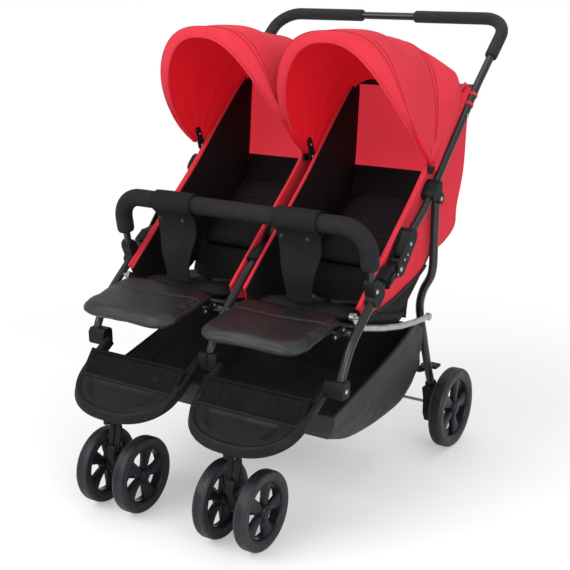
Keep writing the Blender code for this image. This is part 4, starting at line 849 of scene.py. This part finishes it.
# Padded pieces
class Pad:
    """A stuffed board: its place, its outline and the curve of its far and near corners."""

    def __init__(self, origin, across, along, half, length, thick, near, far, taper=0.0):
        self.origin, self.across, self.along = origin, across, along
        self.over = across.cross(along)
        self.half, self.length, self.thick = half, length, thick
        self.near, self.far, self.taper = near, far, taper

    def width(self, s):
        d = s * self.length
        pull = 0.0
        if d < self.near:
            pull = self.near - math.sqrt(max(self.near**2 - (self.near - d) ** 2, 0.0))
        e = self.length - d
        if e < self.far:
            pull = max(pull, self.far - math.sqrt(max(self.far**2 - (self.far - e) ** 2, 0.0)))
        return self.half * (1.0 + self.taper * s) - pull - 0.0015

    def shape(self, steps=30):
        shape = bmesh.new()
        layers = []
        for face in (1, -1):
            layer = []
            for i in range(steps + 1):
                s = 0.5 - 0.5 * math.cos(math.pi * i / steps)
                row = []
                for j in range(steps + 1):
                    t = -math.cos(math.pi * j / steps)
                    edge = min(1.0, (abs(t) ** 9 + abs(2 * s - 1) ** 9)) ** (1 / 9)
                    rise = max(0.0, 1 - edge**7) ** 0.5
                    height = self.thick / 2 * (0.3 + 0.56 * rise) * face
                    height += 0.003 * rise * (1 - t * t) * (face > 0)
                    row.append(shape.verts.new(self.origin + self.along * s * self.length
                                               + self.across * t * self.width(s) + self.over * height))
                layer.append(row)
            layers.append(layer)
        for layer in layers:
            for near, far in zip(layer, layer[1:]):
                for j in range(steps):
                    shape.faces.new((near[j], near[j + 1], far[j + 1], far[j]))
        bmesh.ops.bridge_loops(shape, edges=[e for e in shape.edges if e.is_boundary])
        bmesh.ops.remove_doubles(shape, verts=shape.verts, dist=0.00005)
        return shape

    def local(self, point):
        d = point - self.origin
        s = d.dot(self.along) / self.length
        return s, d.dot(self.across) / max(self.width(min(max(s, 0.02), 0.98)), 0.01), d.dot(self.over)


def swell(pads, cap):
    """Remeshes each pad and lets it swell under pressure, with each point's travel capped."""
    for made in pads:
        mesh = made.modifiers.new("even", "REMESH")
        mesh.mode, mesh.voxel_size = "VOXEL", 0.0055
        bake(made)
    starts, frames = {}, 16
    for made in pads:
        starts[made.name] = [v.co.copy() for v in made.data.vertices]
        soft = made.modifiers.new("swell", "CLOTH")
        soft.settings.quality = 4
        soft.settings.mass = 0.25
        soft.settings.tension_stiffness = soft.settings.compression_stiffness = 12
        soft.settings.use_pressure = True
        soft.settings.uniform_pressure_force = 4.0
        soft.settings.effector_weights.gravity = 0.0
        soft.collision_settings.use_collision = False
        soft.point_cache.frame_start, soft.point_cache.frame_end = 1, frames
    for k in range(1, frames + 1):
        bpy.context.scene.frame_set(k)
    graph = bpy.context.evaluated_depsgraph_get()
    for made in pads:
        moved = [v.co.copy() for v in made.evaluated_get(graph).data.vertices]
        made.modifiers.clear()
        for vert, start, end in zip(made.data.vertices, starts[made.name], moved):
            step = end - start
            if step.length > cap:
                step *= cap / step.length
            vert.co = start + step
    bpy.context.scene.frame_set(1)


def relax(made):
    shape = bmesh.new()
    shape.from_mesh(made.data)
    for _ in range(2):
        bmesh.ops.smooth_vert(shape, verts=shape.verts, factor=0.5, use_axis_x=True, use_axis_y=True,
                              use_axis_z=True)
    shape.to_mesh(made.data)
    shape.free()


def sew(made, pad, dip, both):
    """One subdivision, then seams pressed into the upper face or into both."""
    made.modifiers.new("fine", "SUBSURF").levels = 1
    bake(made)
    for vert in made.data.vertices:
        s, t, height = pad.local(vert.co)
        if both or height > 0:
            vert.co -= pad.over * dip(s, t) * (1 if height > 0 else -1)
    made.data.shade_smooth()


def channels(s, t):
    """Two cross seams and a border."""
    groove = sum(math.exp(-(((s - c) * 0.235) / 0.0035) ** 2) for c in (0.35, 0.68))
    border = math.exp(-((abs(t) - 0.86) / 0.02) ** 2) * (0.08 < s < 0.92)
    return 0.0034 * groove * (abs(t) < 0.86) + 0.0022 * border


def rolled(s, t):
    """A curved seam and a rolled edge."""
    edge = max(abs(t), abs(2 * s - 1))
    curve_s = 0.3 + 0.1 * (1 - t * t)
    arc = math.exp(-(((s - curve_s) * 0.192) / 0.0026) ** 2) * (abs(t) < 0.9)
    lip = math.exp(-((edge - 0.9) / 0.018) ** 2)
    return 0.0026 * arc + 0.002 * lip - 0.001 * (edge < 0.86)


def ends(side):
    """The two ends of a seat along X, each with its label."""
    return (side + "_a", -1), (side + "_b", 1)


def pads():
    made, slope = [], math.radians(7.5)
    drop = Vector((0.0, math.cos(SEAT_DROP), math.sin(SEAT_DROP)))
    lean = Vector((0.0, math.cos(BACK_TILT), math.sin(BACK_TILT)))
    front = Vector((0.0, -math.cos(slope), -math.sin(slope)))
    for side, sign in SIDES.items():
        x = sign * SEAT_X
        base = Pad(at(x, SEAT_FRONT), ACROSS, drop, 0.132, SEAT_DEPTH, 0.024, 0.03, 0.03)
        back = Pad(at(x, BACK_HINGE), ACROSS, lean, 0.1395, BACK_LENGTH, 0.024, 0.03, 0.05)
        start = at(x, (CALF_HINGE[0] + 0.02, CALF_HINGE[1] + CROSS_R + 0.0155))
        calf = Pad(start, -ACROSS, front, 0.137, 0.199, 0.023, 0.026, 0.05, taper=0.02)
        for name, pad, cover, node, body in (("seat", base, BLACK, "seat_base_", "seat"),
                                             ("back", back, BLACK, "backrest_", "back_" + side),
                                             ("calf", calf, LEATHER, "calf_rest_", "calf_" + side)):
            one = piece("%s_pad_%s" % (name, side), pad.shape(), cover, None, [node + side])
            made.append((one, pad, body))
    swell([m[0] for m in made], 0.006)
    for one, pad, body in made:
        soft = body.startswith("calf")
        relax(one)
        sew(one, pad, rolled if soft else channels, not soft)
        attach(one, body)
    lug = capsule(CALF_HINGE, (CALF_HINGE[0] + 0.008, CALF_HINGE[1] + CROSS_R + 0.0115), 0.0125, 0.008)
    bolts, plate_thick, lug_x = ((0.206, 0.454), (0.172, 0.448)), 0.0016, 0.133 * 0.72
    for side, sign in SIDES.items():
        x, body = sign * SEAT_X, "calf_" + side
        lugs = [plate(lug, spot - 0.006, spot + 0.006) for spot in (x - lug_x, x + lug_x)]
        piece("calf_lugs_" + side, merged(*lugs), PLASTIC, body, bevel=0.001)
        for label, step in ends(side):
            face = x + step * 0.1405
            arm = plate(capsule(*bolts, 0.0085, 0.0075), face - plate_thick, face + plate_thick)
            piece("calf_plate_" + label, arm, PLASTIC, body, bevel=0.0008)
            for k, spot in enumerate(bolts):
                rivet("calf_rivet_%d_%s" % (k, label), at(face + step * plate_thick, spot), step, body, 0.0034, 0.0014)


# Canopies
BOWS = [  # angle, reach, power across, power of the height, bulge
    (OPENING, 0.356, 0.84, 0.98, 0.032),
    (122.0, 0.356, 0.74, 0.72, 0.042),
    (FRONT_BOW, 0.353, 0.64, 0.46, 0.052),
    (112.0, 0.338, 0.66, 0.5, 0.048),
    (93.0, 0.298, 0.76, 0.72, 0.036),
    (80.0, 0.29, 0.84, 0.86, 0.032),
    (REAR_BOW, 0.295, 0.86, 0.9, 0.03),
    (60.0, 0.288, 0.66, 0.46, 0.03),
    (50.0, 0.286, 0.52, 0.27, 0.02),
    (CANOPY_END, 0.281, 0.52, 0.32, 0.008),
]


def bow_sizes(angle):
    low = BOWS[0]
    for high in BOWS[1:]:
        if angle >= high[0]:
            share = min(max((low[0] - angle) / (low[0] - high[0]), 0.0), 1.0)
            return [a + (b - a) * share for a, b in zip(low[1:], high[1:])]
        low = high
    return list(BOWS[-1][1:])


def canopy_spot(x, degrees, t, lift=0.0):
    """The canopy's point on the arch at an angle, with t from one foot to the other."""
    reach, power_x, power_z, bulge = bow_sizes(degrees)
    ridge = 0.003 * math.exp(-((degrees - REAR_BOW) / 0.9) ** 2)
    if degrees > 117.4:  # padded band along the opening
        lift += 0.0095 * math.sin(math.pi * (125.9 - degrees) / 8.5) ** 0.6
    angle, turn = math.radians(degrees), math.pi * t
    reach += lift + ridge
    across = -math.copysign(abs(math.cos(turn)) ** power_x, math.cos(turn)) * (CANOPY_X + lift)
    height = max(0.016, max(0.0, math.sin(turn)) ** power_z * reach)
    share = min(1.0, height / reach)
    lean = Vector((math.cos(angle), math.sin(angle)))
    square = Vector((-math.sin(angle), math.cos(angle)))
    out = bulge * 4 * share * (1 - share) * max(0.0, math.sin(angle - math.radians(40)))
    point = at(x + across, Vector(CANOPY_HINGE) + lean * height + square * out)
    if degrees < 118:  # loose folds near the feet, and slack between the bows
        wander = 2.0 * noise.noise(Vector((x * 9, degrees * 0.05, t * 3)))
        fold = 0.006 * math.exp(-height / 0.09) * math.sin(degrees * 0.34 + wander)
        slack = 0.0045 * noise.noise(Vector((x * 7 + t * 5, degrees * 0.07, 5.0)))
        slack *= min(1.0, abs(degrees - FRONT_BOW) / 8) * min(1.0, abs(degrees - REAR_BOW) / 8)
        point.x += math.copysign(1, across) * min(0.0, fold) * 0.6
        point.z += slack * share
    return point


def frame_line(x, t):
    """The line on the back tubes and the cross tube where a canopy's rear edge is sewn."""
    tube = curve(0.0, [(0.586, 0.726), (0.62, 0.7475), (0.739, 0.8555), (0.789, 0.9005)])
    run = 0.268
    d = (1.0 - abs(2 * t - 1)) * (run + CANOPY_X)
    way = -1 if t < 0.5 else 1
    if d < run:
        share = d / run * (len(tube) - 1)
        i = min(int(share), len(tube) - 2)
        point = tube[i].lerp(tube[i + 1], share - i)
        return Vector((x + way * CANOPY_X, point.y, point.z))
    return Vector((x + way * (CANOPY_X - (d - run)), tube[-1].y, tube[-1].z + 0.0045))


def canopies():
    """Cloth over two bows, sewn to the frame, with hem, seams and side clips."""
    arches, skirt = 92, 6
    stops = [OPENING - (OPENING - CANOPY_END) * k / arches for k in range(arches + 1)]
    for side, sign in SIDES.items():
        x = sign * SEAT_X

        def place(s, t):
            row = round(s * (arches + skirt))
            point = canopy_spot(x, stops[min(row, arches)], t)
            return point.lerp(frame_line(x, t), max(row - arches, 0) / skirt)

        def rod(name, degrees, foot, run, radius, sides, material, lift=0.0):
            line = [canopy_spot(x, degrees, foot + run * k / 64, lift) for k in range(65)]
            made = piece("canopy_%s_%s" % (name, side), sweep(line, circle(radius, sides)), material)
            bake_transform(made)

        # the inner face is RED_LINING: painted shade in its darker red, painted light in its glow
        made = piece("canopy_cloth_" + side, grid(place, arches + skirt, 72), [RED, RED_LINING], None,
                     ["canopy_front_" + side, "canopy_rear_" + side], thick=CLOTH)
        turn_outward(made, at(x, CANOPY_HINGE))
        bake(made)
        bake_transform(made)
        rod("hem", OPENING, 0.012, 0.976, 0.0028, 12, RED)
        bows = (("front", FRONT_BOW), ("rear", REAR_BOW))
        for label, degrees in bows:
            # the bows are RED_LINING, with its painted shade and painted glow
            rod("bow_" + label, degrees, 0.09, 0.82, 0.0024, 10, RED_LINING, -0.005)
        for label, degrees in bows:
            rod("seam_%s_before" % label, degrees + 1.4, 0.05, 0.9, 0.0008, 6, THREAD, 0.0003)
            rod("seam_%s_behind" % label, degrees - 1.4, 0.05, 0.9, 0.0008, 6, THREAD, 0.0003)
        hub = capsule(CANOPY_HINGE, (CANOPY_HINGE[0] - 0.012, CANOPY_HINGE[1] + 0.04), 0.0125, 0.0085)
        for label, step in ends(side):
            outer = x + step * (0.1645 - 0.0028)
            inner = outer - step * 0.0055
            piece("canopy_clip_" + label, plate(hub, *sorted((outer, inner))), PLASTIC, "upper_frame", bevel=0.0015)
            rivet("canopy_rivet_in_" + label, at(inner, CANOPY_HINGE), -step, "upper_frame", 0.0048)
            rivet("canopy_rivet_top_" + label, at(inner, (0.564, 0.768)), -step, "upper_frame", 0.0034)


def turn_outward(made, centre):
    """Faces the cloth's first side away from the given point."""
    total = sum((poly.center - centre).dot(poly.normal) * poly.area for poly in made.data.polygons)
    if total < 0:
        made.data.flip_normals()


# Seats
def walls():
    """Each seat's outer wall with its lining, and the inner wall, with piping and webbing."""
    top_line = [(0.256, 0.491), (0.38, 0.585), (0.525, 0.698), (0.6, 0.766)]
    low_line = [(0.27, 0.468), (0.351, 0.462), (0.46, 0.478), (0.575, 0.512), (0.606, 0.61), (0.622, 0.7),
                (0.636, 0.748)]
    inner_top = [(0.258, 0.486), (0.38, 0.583), (0.525, 0.697), (0.622, 0.786), (0.74, 0.886), (0.782, 0.908)]
    inner_low = [(0.266, 0.455), (0.351, 0.436), (0.46, 0.426), (0.545, 0.472), (0.66, 0.566), (0.752, 0.64),
                 (0.786, 0.87)]
    long_wall = (inner_top, inner_low, (0.62, 0.25), 0.1002)
    kinds = (("outer", 0.317, 0.0012, top_line, low_line, (0.46, 0.24), 0.0537), ("lining", 0.312, 0.001, *long_wall),
             ("inner", 0.019, 0.003, *long_wall))
    rows = 60
    for side, sign in SIDES.items():
        for kind, x, sag, upper, lower, flat, area in kinds:
            high, low = rail(sign * x, upper, rows), rail(sign * x, lower, rows)
            inward = sign if kind == "inner" else -sign

            def place(s, t):
                k = round(s * rows)
                point = high[k].lerp(low[k], t)
                puff = math.sin(math.pi * t) * math.sin(math.pi * min(1.0, s * 1.02))
                ripple = noise.noise(Vector((s * 6, t * 4, x * 9))) * 0.0022 * math.sin(math.pi * t)
                point.x += inward * (sag * puff + abs(ripple))
                return point

            made = piece("seat_wall_%s_%s" % (kind, side), grid(place, rows, 24),
                         [LINING if kind == "lining" else RED, LINING], None,
                         ["side_panel_" + side] if kind == "outer" else [], thick=CLOTH)
            turn_outward(made, at(sign * (x + 0.2 if kind == "inner" else x - 0.2), (0.45, 0.55)))
            bake(made)
            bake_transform(made)
            made = piece("seat_piping_%s_%s" % (kind, side), sweep(high, circle(0.004, 12)), RED)
            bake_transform(made)
            if kind == "outer":
                tape = sweep(low[:34], soft_box(0.0034, 0.014, 0.0015), ACROSS)
                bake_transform(piece("seat_tape_" + side, tape, WEBBING))


def back_cloth():
    """Red cloth behind both backs with a gusset at each side, and black cloth in its pocket."""
    outward = Vector((math.sin(BACK_TILT), -math.cos(BACK_TILT)))
    edge = Vector(BACK_HINGE) + Vector((math.cos(BACK_TILT), math.sin(BACK_TILT))) * BACK_LENGTH
    edge += outward * 0.28 * 0.026
    rest = edge + (outward + Vector((1.0, 0.0))).normalized() * 0.0024
    stations, flat_share = 64, 0.8
    rows = rail(0.0, [(0.8021, 0.898), (0.7985, 0.868), (0.788, 0.8), (0.778, 0.7), tuple(rest), (0.738, 0.57),
                      (0.69, 0.545), (0.64, 0.534)], stations, 10)
    gusset = rail(0.0, [(0.747, 0.84), (0.69, 0.79), (0.6285, 0.7315), (0.612, 0.7), (0.6015, 0.61),
                        (0.594, 0.56), (0.612, 0.546), (0.64, 0.534)], stations, 6)

    def place(s, t):
        i = round(s * stations)
        p, u, swing = rows[i], 2 * t - 1, math.sin(math.pi * s)
        if abs(u) < flat_share:
            x = u / flat_share * BACK_X
            sag = 0.006 * (1 - (abs(x) / BACK_X) ** 2) * swing * abs(math.sin(math.pi * x / BACK_X))
            ripple = 0.003 * noise.noise(Vector((x * 8, s * 7, 2.0))) * swing
            return Vector((x, p.y + sag + ripple, p.z))
        share = (abs(u) - flat_share) / (1 - flat_share)
        point = p.lerp(gusset[i], share)
        puff = 0.0035 * math.sin(math.pi * share) * swing
        return Vector((math.copysign(BACK_X - puff, u), point.y, point.z))

    # the upper inside is RED_INNER, brightened with a painted glow
    made = piece("back_cloth", grid(place, stations, 100, lambda s, t: 2 if s > 0.49 else 0),
                 [RED, RED_INNER, RED, LINING], None, ["rear_panel"], orient=False)
    turn_outward(made, at(0.0, (0.55, 0.75)))
    shell = made.modifiers.new("thickness", "SOLIDIFY")
    shell.thickness, shell.offset, shell.material_offset = CLOTH, 0.0, 1
    bake(made)
    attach(made, "upper_frame")
    for name, sign in SIDES.items():
        seam = [Vector((sign * BACK_X, p.y + 0.0004, p.z)) for p in rows]
        piece("back_piping_" + name, sweep(seam, circle(0.0018, 8)), RED, "upper_frame")


def seat_lining():
    """Black cloth trays under the seats, and the curtains between seat and back."""
    for side, sign in SIDES.items():
        x = sign * SEAT_X
        rows = rail(x, [(0.262, 0.447), (0.3, 0.4345), (0.4, 0.4075), (0.48, 0.387)], 30)
        falls = rail(x, [(0.493, 0.398), (0.502, 0.43), (0.526, 0.4735), (0.552, 0.4905), (0.64, 0.544),
                         (0.728, 0.599)], 40)

        def tray(s, t):
            p, u = rows[round(s * 30)], 2 * t - 1
            lift = 0.03 * max(0.0, (abs(u) - 0.86) / 0.14) ** 1.5
            return Vector((x + u * 0.1465, p.y, p.z - 0.0005 + lift))

        def curtain(s, t):
            p, u = falls[round(s * 40)], 2 * t - 1
            ripple = 0.004 * noise.noise(Vector((u * 5, s * 5, x * 9)))
            lift = 0.018 * max(0.0, (abs(u) - 0.88) / 0.12) ** 1.5 * min(1.0, s * 3)
            return Vector((x + u * 0.142, p.y - ripple * (1 - s), p.z + lift))

        made = bake(piece("seat_tray_" + side, grid(tray, 30, 30), LINING, thick=THIN_CLOTH))
        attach(made, "seat")
        made = bake(piece("seat_curtain_" + side, grid(curtain, 40, 30), LINING, thick=THIN_CLOTH))
        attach(made, "upper_frame")


def basket():
    """A sagging open basket: walls in rings from the floor's edge to the rim, and a floor."""
    half_top, half_low, stations, cells, levels = 0.3042, 0.262, 28, 14, 14
    rim, floor = rail(0.0, BASKET_RIM, stations), rail(0.0, BASKET_FLOOR, stations)
    steps = [1.0 - 2 * k / cells for k in range(1, cells)]
    loop = [(rim[i], floor[i], 1.0) for i in range(stations + 1)]
    loop += [(rim[-1], floor[-1], u) for u in steps]
    loop += [(rim[i], floor[i], -1.0) for i in range(stations, -1, -1)]
    loop += [(rim[0], floor[0], -1.0 + 2 * k / cells) for k in range(1, cells)]
    corner = at(0.0, (0.598, 0.345))

    def spot(entry, share):
        high, low, u = entry
        p, bow = low.lerp(high, share), math.sin(math.pi * share)
        half = half_low + (half_top - half_low) * share ** 0.8
        belly = bow * 0.006
        wrinkle = noise.noise(Vector((p.y * 9, p.z * 26, u * 3)))
        side, ahead = u * (half + belly), 0.0
        if abs(u) == 1.0:
            crease = math.sin(38 * math.atan2(p.z - corner.z, p.y - corner.y - 0.02)) * 0.002
            side += math.copysign(1, u) * (wrinkle * 0.004 + crease) * bow
        else:
            ahead = (belly + 0.003 * wrinkle) * (0.3 if high is rim[-1] else -1.0)
        return Vector((side, p.y + ahead, p.z))

    shape = bmesh.new()
    rings = [[shape.verts.new(spot(e, k / levels)) for e in loop] for k in range(levels + 1)]
    bands(shape, rings)
    base, turn = rings[0], stations + cells
    back, ahead = base[stations + 1 : turn], base[turn + stations + 1 :]
    lines = [base[: stations + 1]]
    for k, u in enumerate(steps):
        line = [ahead[cells - 2 - k]]
        for p in floor[1:-1]:
            dip = 0.004 * (1 - u * u) + 0.002 * noise.noise(Vector((p.y * 12, u * 4, 1.0)))
            line.append(shape.verts.new((u * half_low, p.y, p.z - dip + 0.001)))
        lines.append(line + [back[k]])
    lines.append(base[turn : turn + stations + 1][::-1])
    for a, b in zip(lines, lines[1:]):
        for i in range(stations):
            shape.faces.new((a[i], a[i + 1], b[i + 1], b[i]))
    made = bake(piece("basket_cloth", shape, BASKET_CLOTH, None, ["basket"], thick=CLOTH, offset=0.0, angle=60))
    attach(made, "seat")
    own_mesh(made)
    line = [spot(e, 1.0) + Vector((0, 0, 0.0005)) for e in loop]
    piece("basket_piping", sweep(line, circle(0.0032, 10), closed=True), BLACK, "seat")


def trims():
    """Small pieces: loops and a stud on the frame, lap straps and buckles."""
    path = curve(SIDE_X, UPPER_TUBE)
    along = (path[-1] - path[-2]).normalized()
    for k, spot in enumerate(((0.753, 0.862), (0.775, 0.882))):
        centre = at(SIDE_X, spot)
        ring = sweep([centre + along * away for away in (-0.004, -0.003, 0.003, 0.004)],
                     circle(TUBE_R + 0.0018, 24), sizes=[0.93, 1.0, 1.0, 0.93])
        piece("tube_loop_%d" % k, ring, RED, "upper_frame")
    rivet("tube_clip", at(SIDE_X + TUBE_R - 0.0004, (0.73, 0.8407)), 1, "upper_frame", 0.0042, 0.003)
    strap = [(0.118, 0.455, 0.436), (0.09, 0.425, 0.446), (0.055, 0.385, 0.452), (0.022, 0.36, 0.455)]
    buckle = [(-0.014, -0.018), (0.014, -0.018), (0.02, -0.006), (0.02, 0.012), (0.01, 0.022), (-0.01, 0.022),
              (-0.02, 0.012), (-0.02, -0.006)]
    for side, sign in SIDES.items():
        x = sign * SEAT_X
        for label, step in ends(side):
            line = smooth([at(x + step * out, (y, z)) for out, y, z in strap], 8)
            piece("lap_strap_" + label, sweep(line, soft_box(0.024, 0.0026, 0.001), (0, 0, 1)), WEBBING, "seat")
        shape = bmesh.new()
        low = [shape.verts.new(at(x + a, (0.352 + b, 0.45 - b * 0.268))) for a, b in buckle]
        high = [shape.verts.new(at(x + a * 0.86, (0.353 + b * 0.86, 0.461 - b * 0.268))) for a, b in buckle]
        shape.faces.new(low)
        shape.faces.new(high)
        bands(shape, [low, high])
        piece("harness_buckle_" + side, shape, PLASTIC, "seat", bevel=0.002)


stage()
frame_tubes()
carried_over()
rolling_gear()
footrests()
bumper()
crotch_straps()
pads()
canopies()
walls()
back_cloth()
seat_lining()
basket()
trims()
